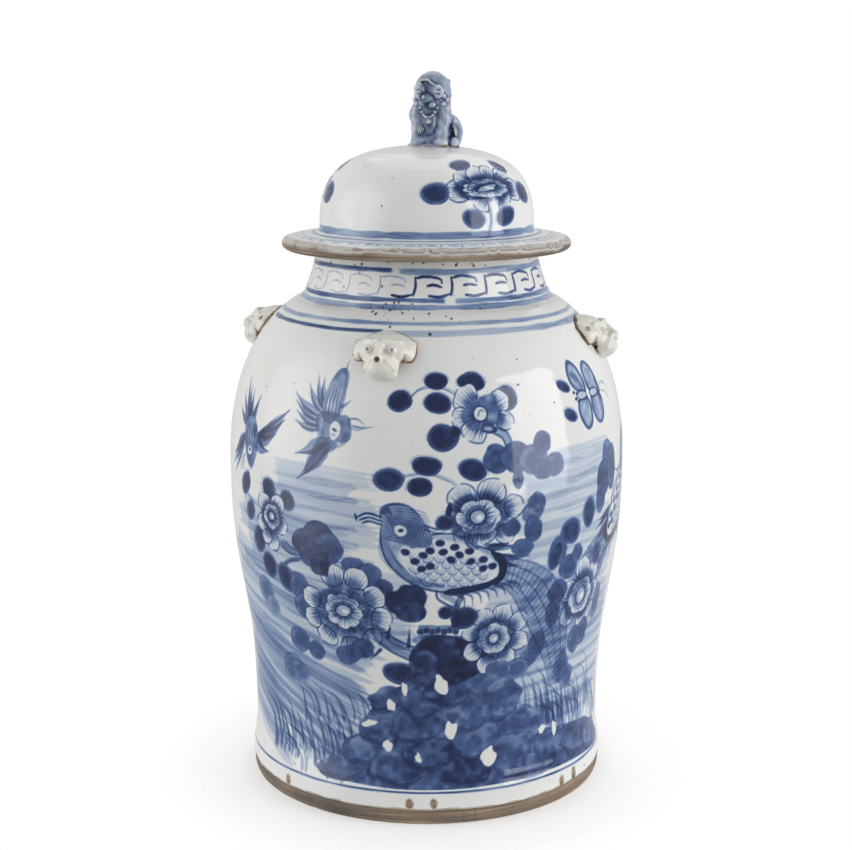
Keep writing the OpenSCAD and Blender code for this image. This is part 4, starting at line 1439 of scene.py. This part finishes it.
class Clay:
    """A lump of clay as a distance field on a grid, in mm: parts melt together, or are cut away."""

    def __init__(self, low, high, step):
        self.low, self.step = np.array(low, float), step
        axes = [np.arange(a, b + step, step, dtype=np.float32) for a, b in zip(low, high)]
        self.x, self.y, self.z = np.meshgrid(*axes, indexing="ij")
        self.field = np.full(self.x.shape, 1e3, np.float32)

    def oval(self, centre, radii, turn=(0, 0, 0)):
        """Distance to an ellipsoid turned by degrees about x, then y, then z."""
        about_x, about_y, about_z = (
            Matrix.Rotation(math.radians(t), 3, axis) for t, axis in zip(turn, "XYZ")
        )
        spin = np.array(about_z @ about_y @ about_x)
        dx, dy, dz = self.x - centre[0], self.y - centre[1], self.z - centre[2]
        p = [spin[0, k] * dx + spin[1, k] * dy + spin[2, k] * dz for k in range(3)]
        near = np.sqrt(sum((q / r) ** 2 for q, r in zip(p, radii)))
        far = np.sqrt(sum((q / r**2) ** 2 for q, r in zip(p, radii)))
        return near * (near - 1) / np.maximum(far, 1e-6)

    def rod(self, a, b, ra, rb):
        """Distance to a rod with round ends, of radius ra at a and rb at b."""
        a, b = np.array(a, float), np.array(b, float)
        along = b - a
        px, py, pz = self.x - a[0], self.y - a[1], self.z - a[2]
        t = np.clip((px * along[0] + py * along[1] + pz * along[2]) / (along @ along), 0, 1)
        gap = np.sqrt((px - t * along[0]) ** 2 + (py - t * along[1]) ** 2 + (pz - t * along[2]) ** 2)
        return gap - (ra + (rb - ra) * t)

    def add(self, other, melt=1.5):
        h = np.clip(0.5 + 0.5 * (self.field - other) / melt, 0, 1)
        self.field = self.field * (1 - h) + other * h - melt * h * (1 - h)

    def cut(self, other, melt=0.8):
        h = np.clip(0.5 - 0.5 * (self.field + other) / melt, 0, 1)
        self.field = self.field * (1 - h) - other * h + melt * h * (1 - h)

    def hollow(self, reach=3):
        """How sunken each place is: positive in grooves, negative on ridges, in mm."""
        blurred = self.field.copy()
        for _ in range(reach):
            for axis in range(3):
                blurred = 0.5 * blurred + 0.25 * (np.roll(blurred, 1, axis) + np.roll(blurred, -1, axis))
        return self.field - blurred

    def read(self, values, points):
        """Values of a grid at points, taken from the nearest cell."""
        cell = np.rint((points - self.low) / self.step).astype(int)
        cell = np.clip(cell, 0, np.array(values.shape) - 1)
        return values[cell[:, 0], cell[:, 1], cell[:, 2]]

    def skin(self):
        """The surface as points in mm and four-sided faces."""
        f = self.field
        inside = f < 0
        shape = tuple(n - 1 for n in f.shape)
        total = np.zeros(shape + (3,), np.float32)
        count = np.zeros(shape, np.float32)
        corner = [slice(0, -1), slice(1, None)]
        crossings = []
        for axis in range(3):
            first = [slice(None)] * 3
            second = [slice(None)] * 3
            first[axis], second[axis] = corner
            a, b = f[tuple(first)], f[tuple(second)]
            crosses = inside[tuple(first)] != inside[tuple(second)]
            crossings.append(crosses)
            share = np.where(crosses, a / np.where(a == b, 1, a - b), 0)
            others = [k for k in range(3) if k != axis]
            for u in range(2):
                for v in range(2):
                    pick = [slice(None)] * 3
                    pick[others[0]], pick[others[1]] = corner[u], corner[v]
                    mask = crosses[tuple(pick)]
                    count += mask
                    total[..., axis] += share[tuple(pick)]
                    total[..., others[0]] += mask * u
                    total[..., others[1]] += mask * v
        used = count > 0
        number = np.full(shape, -1)
        number[used] = np.arange(used.sum())
        cells = np.argwhere(used)
        points = (cells + total[used] / count[used][:, None]) * self.step + self.low
        faces = []
        for axis, crosses in enumerate(crossings):
            one, two = [k for k in range(3) if k != axis]
            at = np.argwhere(crosses)
            for across in (one, two):
                at = at[(at[:, across] > 0) & (at[:, across] < f.shape[across] - 1)]
            ring = []
            for du, dv in ((-1, -1), (0, -1), (0, 0), (-1, 0)):
                cell = at.copy()
                cell[:, one] += du
                cell[:, two] += dv
                ring.append(number[cell[:, 0], cell[:, 1], cell[:, 2]])
            quads = np.stack(ring, axis=1)
            flip = inside[at[:, 0], at[:, 1], at[:, 2]] ^ (axis == 1)
            quads[~flip] = quads[~flip][:, ::-1]
            faces.append(quads)
        return points, np.vstack(faces)


def modelled_piece(name, points, faces, sheets, matrix):
    """A mesh object from points in mm, moved by the matrix, with a value of each sheet at each point."""
    points = points @ np.array(matrix.to_3x3()).T + np.array(matrix.translation)
    return mesh_object(name, points * MM, faces, sheets)


def near(points, centre, radius, soft=0.5):
    """1 within a radius of a place, falling to 0 just outside it."""
    return ramp(radius - np.linalg.norm(points - np.array(centre, float), axis=1), -soft, soft)


def shoulder_field(clay, profile):
    """Distance outside the shoulder of the jar, which leans, so it is less than the level distance."""
    wall = np.interp(clay.z, profile[:, 1], profile[:, 0])
    return (np.hypot(clay.x, clay.y) - wall) * 0.8


def mask_clay(profile, seed):
    """A press-moulded animal mask that points along +X from the axis of the jar."""
    random = np.random.default_rng(seed)

    def j():
        """A small chance difference between one pressing and the next, in mm."""
        return 0.5 * (random.random() - 0.5)

    clay = Clay((92, -23, 289), (135, 23, 326), CLAY_STEP)
    clay.add(clay.oval((107, 0, 315.2), (14.5, 15.0, 6.6), (0, 8, 0)), 0.1)
    clay.add(clay.oval((112.5, 0, 311.0), (12.4, 17.6, 8.8), (0, 16, 0)), 3)
    for side in (-1, 1):
        clay.add(clay.oval((107.0, side * 14.4, 310.6), (10.5, 5.4, 7.6), (side * 8, 20, side * 14)), 2.5)
        clay.add(clay.rod((106, side * 18.4, 315), (113, side * 17.4, 305.5), 1.7, 1.5), 1.4)
    clay.add(clay.oval((119.8, 0, 303.2), (11.3, 10.9 + j(), 8.6), (0, 12, 0)), 2.4)
    clay.add(clay.oval((118.5, 0, 297.6), (8.4, 10.2, 4.8), (0, -14, 0)), 2.4)
    clay.add(clay.rod((122.0, 0.4, 316.6), (129, 0, 310.6), 1.9, 1.9), 2.2)
    clay.add(clay.oval((129.5, 0, 308.8), (2.6, 3.2, 2.8)), 1.6)
    for side in (-1, 1):
        clay.cut(clay.oval((126.6, side * 6.2, 313.0 + j()), (3.6, 4.2, 2.8)), 2.0)
        clay.add(clay.oval((122.2, side * 7.7, 313.2 + j()), (2.9, 2.5, 2.3)), 0.7)
        clay.add(clay.rod((121.4, side * 2.2, 318.6), (116.6, side * 11.0, 317.6 + j()), 1.5, 1.1), 1.8)
        clay.add(clay.rod((127.4, side * 3.4, 309.6), (125.6, side * 9.2, 302.0), 1.3, 1.0), 1.8)
        clay.cut(clay.rod((123.9, side * 10.4, 309.4), (124.3, side * 12.0, 303.6), 1.0, 0.8), 1.4)
        clay.add(clay.oval((113.4, side * 15.8, 313.4), (2.0, 1.6, 2.0)), 0.5)
    clay.cut(clay.oval((131.9, 0, 308.6), (2.6, 1.7, 1.8)), 0.5)
    shoulder = shoulder_field(clay, profile)
    back = 119.4 - 0.3 * np.abs(clay.z - 305) - 0.05 * clay.y**2 * (clay.z > 303)
    tunnel = np.maximum(np.maximum(300.6 - clay.z, clay.z - 310.5), clay.x - back)
    clay.cut(tunnel, 1.0)
    clay.field += 0.32 * (noise(clay.y / 3.2 + clay.z / 9, clay.z / 3.0 + clay.x / 5, seed) - 0.5)
    clay.cut(shoulder + 0.6, 0.3)
    return clay


def lug_piece(side, degrees, profile, material):
    """One mask lug, glazed but for its luted edge, its tunnel, its ears' rims and its nose."""
    seed = 200 + degrees
    clay = mask_clay(profile, seed)
    points, faces = clay.skin()
    x, y, z = points.T
    sunk = clay.read(clay.hollow(), points)
    stand = np.hypot(x, y) - np.interp(z, profile[:, 1], profile[:, 0])
    rough = noise(y / 2.2 + 30, z / 2.2 + x / 4, seed + 1)
    edge = ramp(1.7 + 1.6 * rough - stand, -0.4, 0.8) * ramp(z, 296, 300)
    inner = ramp(119.2 - x + rough, -0.5, 1.0) * ramp(16 - np.abs(y), -1, 3)
    inner = inner * ramp(311 - z, -0.5, 1.0) * ramp(z, 300, 302)
    rim = ramp(-sunk - 0.05 - 0.14 * rough, 0.0, 0.09) * 0.6 * ramp(np.abs(y), 12, 17)
    nose = near(points, (130.4, 0, 308.6), 2.0, 0.4)
    bare = np.clip(np.maximum.reduce([edge, inner, rim, nose]), 0, 1)
    blue = np.zeros(len(points))
    for s in (-1, 1):
        blue = np.maximum(blue, 0.75 * near(points, (124.9, s * 7.9, 313.9), 1.15, 0.5))
    for k in range(8):
        where = (120.0 - 0.35 * k, -5 + 1.9 * k, 319.2 + 0.3 * math.sin(3 * k))
        blue = np.maximum(blue, (0.35 + 0.4 * (k % 3 == 0)) * near(points, where, 1.1, 0.7))
    if side in ("right", "left"):
        for s in (-1, 1):
            bare = np.maximum(bare, 0.85 * near(points, (113.6, s * 16.6, 315.4), 2.0, 0.5))
    turn = Matrix.Rotation(math.radians(degrees), 4, "Z")
    sheets = {"cobalt": blue, "bare": bare, "shade": np.clip(sunk * 2.2, -1, 1)}
    piece = modelled_piece("lug_" + side, points, faces, sheets, turn)
    piece.data.materials.append(material)
    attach(piece, "jar")
    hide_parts("mask_lug_" + side)


def lion_dog_clay():
    """The seated lion-dog, facing -Y with its haunch at the right; z is height above the plinth's foot."""
    clay = Clay((-19, -20, -2), (25, 22, 56), CLAY_STEP)
    clay.add(clay.oval((0, 1, 39.0), (12.9, 12.2, 14.2)), 0.1)
    clay.add(clay.oval((0, 1, 30), (12.6, 11.6, 10)), 3)
    clay.add(clay.oval((0, 1, 19), (12.9, 11.8, 13)), 3)
    clay.add(clay.oval((0, 1, 7), (12.8, 12, 9)), 3)
    clay.add(clay.oval((-0.8, -1.5, 1.6), (17.0, 14.8, 4.8)), 3)
    clay.add(clay.oval((8.4, 9.5, 11), (11.0, 10.5, 13.5)), 2)
    clay.add(clay.oval((14.8, 5.0, 10.0), (4.9, 8.4, 10.2)), 1.0)
    clay.cut(clay.oval((14.4, -3.6, 9), (1.9, 3.0, 7.5)), 1.2)
    clay.add(clay.oval((16.4, -3.5, 4.4), (3.9, 5.2, 4.4)), 0.8)
    for side in (-1, 1):
        clay.add(clay.rod((side * 9.6, -4.6, 27), (side * 9.0, -7.6, 8), 4.6, 4.0), 2.6)
        clay.add(clay.oval((side * 8.2, -10.2, 4.8), (4.8, 3.8, 3.2)), 2.6)
    clay.add(clay.oval((-12.4, -3.0, 23.5), (3.6, 4.4, 5.2)), 1.4)
    clay.add(clay.oval((11.6, -4.0, 22.5), (3.2, 4.0, 6.0)), 1.4)
    clay.cut(clay.rod((0, -13.9, 27), (0, -14.6, 11), 3.4, 3.4), 2.6)
    clay.add(clay.oval((0, -10.0, 20), (4.4, 3.0, 9)), 1.6)
    clay.cut(clay.rod((-1.2, -14.3, 50), (-1.2, -14.3, 30), 3.4, 3.6), 2.2)
    clay.add(clay.oval((-6.6, -9.0, 40.0), (4.0, 3.6, 6.0), (0, 0, 16)), 1.1)
    clay.add(clay.oval((5.8, -9.6, 39.4), (4.7, 3.5, 4.8), (0, 0, -14)), 1.0)
    for side in (-1, 1):
        clay.cut(clay.rod((side * 3.4, -14.2, 41.4), (side * 8.4, -12.4, 40.6), 0.5, 0.4), 0.9)
        clay.cut(clay.rod((side * 3.6, -14.0, 38.2), (side * 7.6, -12.6, 37.8), 0.45, 0.4), 0.9)
    clay.add(clay.rod((-6.5, -8.6, 47.0), (-1.0, -10.8, 47.6), 0.6, 0.7), 1.0)
    clay.add(clay.rod((-1.0, -10.8, 47.6), (3.6, -10.8, 44.0), 0.7, 0.6), 1.0)
    clay.add(clay.oval((-0.9, -10.6, 35.0), (4.0, 3.0, 3.4)), 1.8)
    clay.add(clay.oval((-3.0, -12.2, 35.8), (1.7, 1.4, 1.5)), 1.0)
    clay.cut(clay.rod((-4.0, -13.9, 32.0), (2.6, -13.9, 32.4), 0.5, 0.5), 1.1)
    clay.add(clay.oval((2.6, -11.0, 30.4), (2.2, 2.0, 2.2)), 1.0)
    for side in (-1, 1):
        for k in range(6):
            height = 36.5 - 2.7 * k
            angle = math.radians(50 + 14 * (k % 2))
            centre = (side * 12.3 * math.sin(angle), 0.6 - 12.0 * math.cos(angle), height)
            clay.add(clay.oval(centre, (1.9, 1.9, 1.8)), 0.9)
    for row in range(5):
        for k in range(11):
            angle = math.radians(-60 + 360 / 14 * (k + 0.5 * (row % 2)) + 90)
            reach = 12.2 - 0.3 * row if row else 10.8
            centre = (reach * math.cos(angle), 1.0 + reach * math.sin(angle), 46.0 - 4.6 * row)
            if centre[1] > 0.5:
                clay.add(clay.oval(centre, (2.3, 2.3, 2.1)), 0.6)
                clay.cut(clay.oval((centre[0] * 1.17, centre[1] * 1.17, centre[2]), (0.9, 0.9, 0.9)), 0.5)
    for k in range(9):
        across = -6.4 + 1.6 * k
        height = 22.0 + 0.16 * across**2
        clay.add(clay.oval((across, -12.9 + 0.03 * across**2, height), (0.95, 0.9, 0.95)), 0.8)
    clay.add(clay.oval((0.2, -13.0, 19.4), (1.7, 1.4, 1.9)), 0.9)
    for lock in range(3):
        curl = []
        for k in range(5 - lock):
            curl.append((-6.6 + 1.5 * lock + 0.35 * math.sin(1.3 * k + lock), -12.4, 17.4 - lock - 1.5 * k))
        for a, b in zip(curl, curl[1:]):
            clay.add(clay.rod(a, b, 0.34, 0.34), 0.6)
    for k in range(4):
        tip = (-6 + 4.5 * k, 18.4 - 0.6 * (k - 1.5) ** 2, 27 - 2.0 * abs(k - 1.5))
        clay.add(clay.rod((-1 + 1.2 * k, 14.5, 6), tip, 3.0, 1.3), 1.2)
    clay.field += 0.3 * (noise(clay.x / 2.8 + clay.z / 6, clay.y / 2.8 + clay.z / 4, 210) - 0.5)
    clay.cut(clay.z, 0.4)
    return clay


DOG_ASIDE = 3.9  # mm that the lion-dog was stuck on off centre, to the right of the painted scene
DOG_SHRINK = (0.96, 0.96, 0.965)  # from the size it was modelled at
PLINTH_FOOT = 430.4  # height of the plinth's underside, in mm


def finial_piece(material, lid_profile):
    """The lion-dog on its plinth, its foot fitted to the curve of the lid."""
    clay = lion_dog_clay()
    points, faces = clay.skin()
    sunk = clay.read(clay.hollow(4), points)
    broad = clay.read(clay.hollow(14), points)
    x, y, z = points.T
    front = ramp(-y, 8.5, 12.5) * ramp(5.2 - np.abs(x + 0.6), -1.4, 1.4) * ramp(z, 8, 12) * ramp(50 - z, 0, 4)
    behind = near(points, (14.5, -2.5, 12), 6.5, 2.5)
    pool = 0.38 + 2.4 * np.clip(sunk, -0.3, 0.3) + 0.7 * np.clip(broad, -0.5, 0.6)
    pool += 0.42 * front + 0.3 * behind
    pool += 0.3 * (noise(x / 4 + z / 7, y / 4 + z / 5, 211) - 0.5)
    thin = 0.8 * ramp(-sunk, 0.1, 0.2) * ramp(noise(x / 3, z / 3 + y / 5, 212), 0.25, 0.6)
    base = ramp(1.8 + 2.2 * noise(x / 4 + 9, y / 4, 213) - z, -0.5, 0.6)
    aside = Vector((math.cos(SCENE_TURN), math.sin(SCENE_TURN), 0)) * DOG_ASIDE
    out = np.hypot(x + aside.x, y + aside.y)
    lid_top = np.interp(out, lid_profile[::-1, 0], lid_profile[::-1, 1]) - PLINTH_FOOT
    points *= DOG_SHRINK
    low = z < 1.2
    sunk_in = (lid_top[low] - 0.5) * (1 - ramp(z[low], 0.0, 1.2))
    points[low, 2] = np.minimum(points[low, 2], 0) + sunk_in
    sheets = {"pool": np.clip(pool, 0, 1), "thin": thin, "bare": base}
    place = Matrix.Translation(aside + Vector((0, 0, PLINTH_FOOT)))
    piece = modelled_piece("finial", points, faces, sheets, place)
    piece.data.materials.append(material)
    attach(piece, "lid")
    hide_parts("finial_lion_dog", "finial_plinth")


def pooled_blue(name):
    """Blue glaze over modelled clay: dark where it pools, creamy where it breaks over edges."""
    s = Shader(name)
    pool = s.plus(s.attribute("pool"), s.times(s.math("SUBTRACT", s.noise(260, 4.0, 0.6), 0.5), 0.3))
    colour = s.colours(
        pool,
        [
            (0.0, srgb(196, 203, 214)), (0.25, srgb(150, 163, 186)), (0.5, srgb(108, 126, 158)),
            (0.75, srgb(66, 86, 118)), (1.0, srgb(38, 54, 82)),
        ],
    )
    broken = s.mix(s.times(s.attribute("thin"), 0.75), colour, (*srgb(206, 202, 172), 1))
    specks = s.specks(420, 0.2, 0.3, 2.0)
    speckled = s.mix(specks, broken, (*srgb(46, 44, 48), 1))
    clay = bare_clay(s)[0]
    bare = s.attribute("bare")
    s.plug(s.bsdf.inputs["Base Color"], s.mix(bare, speckled, clay))
    s.plug(s.bsdf.inputs["Roughness"], s.plus(s.times(s.noise(80), 0.08), s.times(bare, 0.5), clamp=True))
    s.bsdf.inputs["IOR"].default_value = 1.54
    s.plug(s.bsdf.inputs["Normal"], s.bump(s.noise(300, 3.0), 0.00025))
    return s.material


def lug_glaze(name):
    """Creamy white glaze over a moulded mask, a little darker in its hollows, brown at bare edges."""
    s = Shader(name)
    shade = s.plus(s.times(s.attribute("shade"), 0.6), s.times(s.noise(90, 4.0), 0.5))
    colour = s.colours(shade, CREAM_STOPS)
    grain = s.plus(0.6, s.times(s.noise(700, 2.0), 0.8))
    blue = s.times(s.attribute("cobalt"), grain, clamp=True)
    painted = s.mix(blue, colour, (*srgb(52, 68, 112), 1))
    specks = s.specks(300, 0.12, 0.16, 4.0)
    speckled = s.mix(specks, painted, (*srgb(70, 56, 48), 1))
    bare = s.attribute("bare")
    clay = s.colours(
        s.noise(240, 4.0), [(0.3, srgb(84, 64, 48)), (0.5, srgb(140, 112, 86)), (0.7, srgb(192, 166, 136))]
    )
    s.plug(s.bsdf.inputs["Base Color"], s.mix(bare, speckled, clay))
    gloss = s.plus(0.1, s.times(s.noise(60), 0.08))
    s.plug(s.bsdf.inputs["Roughness"], s.plus(gloss, s.times(bare, 0.55), clamp=True))
    s.bsdf.inputs["IOR"].default_value = 1.5
    height = s.plus(s.noise(260, 3.0), s.times(bare, s.noise(900)))
    s.plug(s.bsdf.inputs["Normal"], s.bump(height, 0.0003))
    return s.material


# ---------------------------------------------------------------- camera, light and floor


CAMERA_DISTANCE, CAMERA_HEIGHT, CAMERA_ASIDE = 1.184, 0.481, -0.0004  # metres from the jar's axis
CAMERA_PITCH = math.radians(11.42)  # downwards
CAMERA_LENS, CAMERA_SENSOR = 73.8, 36  # mm
JAR_MIDDLE = 0.25  # height that the lamps aim at, in metres


def from_scene(azimuth, elevation):
    """The direction, from the jar, at an azimuth from the middle of the scene; both are in degrees."""
    a, e = SCENE_TURN + math.radians(azimuth), math.radians(elevation)
    return Vector((math.sin(a) * math.cos(e), -math.cos(a) * math.cos(e), math.sin(e)))


def make_camera():
    """A long lens level with the top of the finial, looking slightly down."""
    data = bpy.data.cameras.new("camera")
    data.sensor_width = CAMERA_SENSOR
    data.lens = CAMERA_LENS
    camera = bpy.data.objects.new("camera", data)
    c, s = math.cos(SCENE_TURN), math.sin(SCENE_TURN)
    camera.location = (
        CAMERA_DISTANCE * s + CAMERA_ASIDE * c,
        -CAMERA_DISTANCE * c + CAMERA_ASIDE * s,
        CAMERA_HEIGHT,
    )
    camera.rotation_euler = (math.pi / 2 - CAMERA_PITCH, 0, SCENE_TURN)
    bpy.context.scene.collection.objects.link(camera)
    bpy.context.scene.camera = camera


def softbox(name, azimuth, elevation, distance, width, height, power):
    """A large area light at an azimuth from the middle of the scene, facing the jar's middle."""
    data = bpy.data.lights.new(name, "AREA")
    data.shape = "RECTANGLE"
    data.size, data.size_y = width, height
    data.energy = power
    light = bpy.data.objects.new(name, data)
    back = from_scene(azimuth, elevation)
    light.location = Vector((0, 0, JAR_MIDDLE)) + distance * back
    light.rotation_euler = back.to_track_quat("Z", "Y").to_euler()
    bpy.context.scene.collection.objects.link(light)


def make_world():
    """White to the camera; to light and reflections a dim room, paler behind, a soft lamp at the left."""
    world = bpy.data.worlds.new("studio")
    bpy.context.scene.world = world
    world.use_nodes = True
    tree = world.node_tree
    background = tree.nodes["Background"]
    coords = tree.nodes.new("ShaderNodeTexCoord").outputs["Generated"]

    def lobe(direction, start, end, low, high):
        """A glow round a direction: low beyond the start angle, high within the end angle, in degrees."""
        dot = tree.nodes.new("ShaderNodeVectorMath")
        dot.operation = "DOT_PRODUCT"
        tree.links.new(coords, dot.inputs[0])
        dot.inputs[1].default_value = direction
        glow = tree.nodes.new("ShaderNodeMapRange")
        glow.interpolation_type = "SMOOTHSTEP"
        tree.links.new(dot.outputs["Value"], glow.inputs["Value"])
        bounds = math.cos(math.radians(start)), math.cos(math.radians(end)), low, high
        for key, value in zip(("From Min", "From Max", "To Min", "To Max"), bounds):
            glow.inputs[key].default_value = value
        return glow.outputs["Result"]

    total = tree.nodes.new("ShaderNodeMath")
    tree.links.new(lobe(from_scene(180, 14), 102, 45, 0.36, 0.62), total.inputs[0])
    tree.links.new(lobe(from_scene(-76, 10), 42, 8, 0.0, 1.95), total.inputs[1])
    path = tree.nodes.new("ShaderNodeLightPath")
    pick = tree.nodes.new("ShaderNodeMix")
    tree.links.new(path.outputs["Is Camera Ray"], pick.inputs["Factor"])
    tree.links.new(total.outputs[0], pick.inputs[2])
    pick.inputs[3].default_value = 1.0
    tree.links.new(pick.outputs[0], background.inputs["Strength"])
    background.inputs["Color"].default_value = (1, 1, 1, 1)


def make_floor():
    """A round white table top that fades into the white background."""
    bm = bmesh.new()
    bmesh.ops.create_circle(bm, cap_ends=True, radius=0.62, segments=128)
    mesh = bpy.data.meshes.new("floor")
    bm.to_mesh(mesh)
    bm.free()
    floor = bpy.data.objects.new("floor", mesh)
    floor.location.z = -0.0002
    bpy.context.scene.collection.objects.link(floor)
    s = Shader("white_table")
    length = s.node("VectorMath", operation="LENGTH")
    s.plug(length.inputs[0], s.coords)
    s.plug(s.bsdf.inputs["Base Color"], (0.93, 0.93, 0.93, 1))
    s.plug(s.bsdf.inputs["Roughness"], s.plus(0.6, s.times(s.noise(30), 0.1)))
    s.bsdf.inputs["Emission Color"].default_value = (1, 1, 1, 1)
    s.bsdf.inputs["Emission Strength"].default_value = 0.22
    s.plug(s.bsdf.inputs["Alpha"], s.times(s.span(length.outputs["Value"], 0.2, 0.12), 0.64))
    mesh.materials.append(s.material)


# ---------------------------------------------------------------- the pieces


SKIN_STEP = 0.62  # mm between the rows of a painted skin
BODY_COLUMNS, LID_COLUMNS = 1368, 990  # columns of mesh round each
LID_RADIUS = 70  # mm; the lid is painted as if it were a drum of this radius
THROWN_BODY, THROWN_LID = 60, 80  # seeds of the thrown surfaces


def painted_shell(name, columns, canvas, skin, lining, wobble, inner_share):
    """A closed shell with a painted skin outside and a plain lining, which wobbles less, inside."""
    path = np.vstack([skin, lining])
    share = np.ones(len(path))
    share[len(skin) :] = inner_share
    waver = wobble(columns_round(columns)[None, :], path) * share[:, None]
    sheets = {"cobalt": canvas.cobalt, "bare": canvas.bare, "pits": canvas.pits}
    return revolve(name, path, columns, sheets, waver)


def body_wobble(turn, path):
    return thrown_surface(turn, path[:, 1][:, None], THROWN_BODY)


def lid_wobble(turn, path):
    """Less than the body's, and none at the very top, under the finial."""
    return 0.6 * thrown_surface(turn, path[:, 1][:, None], THROWN_LID) * ramp(path[:, 0], 0, 40)[:, None]


def body_piece():
    """The jar from above its foot to its lip, outside and inside."""
    skin = even_path(stations(True, "lower_body", "upper_body", "neck"), SKIN_STEP)
    lining = even_path(stations(False, "lower_body", "upper_body", "neck")[::-1], 5.0)
    canvas = Canvas(2 * math.pi * BODY_RADIUS, BODY_COLUMNS, skin[:, 1])
    paint_body(canvas)
    piece = painted_shell("jar_body", BODY_COLUMNS, canvas, skin, lining, body_wobble, 0.3)
    piece.data.materials.append(painted_glaze("painted_body"))
    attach(piece, "jar")
    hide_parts("lower_body", "upper_body", "neck")


def lid_piece():
    """The lid's flange and dome, painted by distance along its skin from the rim."""
    skin = even_path(stations(True, "lid_flange", "lid_dome"), SKIN_STEP)
    lining = even_path(stations(False, "lid_flange", "lid_dome")[::-1], 4.0)
    along = np.r_[0, np.cumsum(np.hypot(*np.diff(skin, axis=0).T))]
    canvas = Canvas(2 * math.pi * LID_RADIUS, LID_COLUMNS, along)
    paint_lid(canvas)
    piece = painted_shell("lid_shell", LID_COLUMNS, canvas, skin, lining, lid_wobble, 0.2)
    piece.data.materials.append(painted_glaze("painted_lid"))
    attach(piece, "lid")
    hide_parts("lid_flange", "lid_dome")


def foot_piece():
    """The turned foot ring, of bare clay with tool marks."""
    outline = [
        (121.6, 10.6), (122.3, 8.5), (122.4, 6), (121.7, 3.2), (120.6, 1.3), (118.6, 0.2), (115, 0.0),
        (110.6, 0.0),
        (108.4, 0.5), (107.2, 1.6), (106.8, 4.5), (106.7, 8), (106.7, 11.0), (114, 11.6), (119, 11.4),
    ]
    path = even_path(np.array(outline)[::-1], 0.55)
    turn = columns_round(BODY_COLUMNS)
    wobble = thrown_surface(turn[None, :], np.full((1, 1), 11.0), THROWN_BODY)
    mark = noise(path[:, 1][:, None] * 1.6 + 1.5 * np.cos(turn), 3 + 2 * np.sin(turn), 96)
    nick = ramp(ring_noise(turn, 40, 34, 97), 0.78, 0.92)
    outer = ramp(path[:, 0], 117, 121)[:, None]
    piece = revolve("foot", path, BODY_COLUMNS, {}, wobble * outer - outer * (0.5 * mark + 0.5 * nick))
    piece.data.materials.append(clay_material("turned_clay"))
    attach(piece, "jar")
    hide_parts("foot_ring")


def dress(node, material):
    """Keep a part of the frame as it is, in its own material."""
    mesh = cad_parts[node].data
    mesh.materials.clear()
    mesh.materials.append(material)


bpy.context.scene.view_settings.view_transform = "Standard"
make_camera()
make_world()
make_floor()
softbox("right_softbox", 66, 10, 1.8, 1.3, 1.6, 21)
softbox("top_softbox", 170, 60, 1.8, 1.6, 1.6, 5)
body_piece()
lid_piece()
shoulder = stations(True, "lower_body", "upper_body", "neck")
lug_material = lug_glaze("glazed_mask")
for lug_side, lug_degrees in (("front", -90), ("right", 0), ("back", 90), ("left", 180)):
    lug_piece(lug_side, lug_degrees, shoulder, lug_material)
finial_piece(pooled_blue("finial_blue"), stations(True, "lid_dome"))
foot_piece()
dress("base_disc", clay_material("base_clay"))
dress("lid_locating_ring", clay_material("seat_clay"))
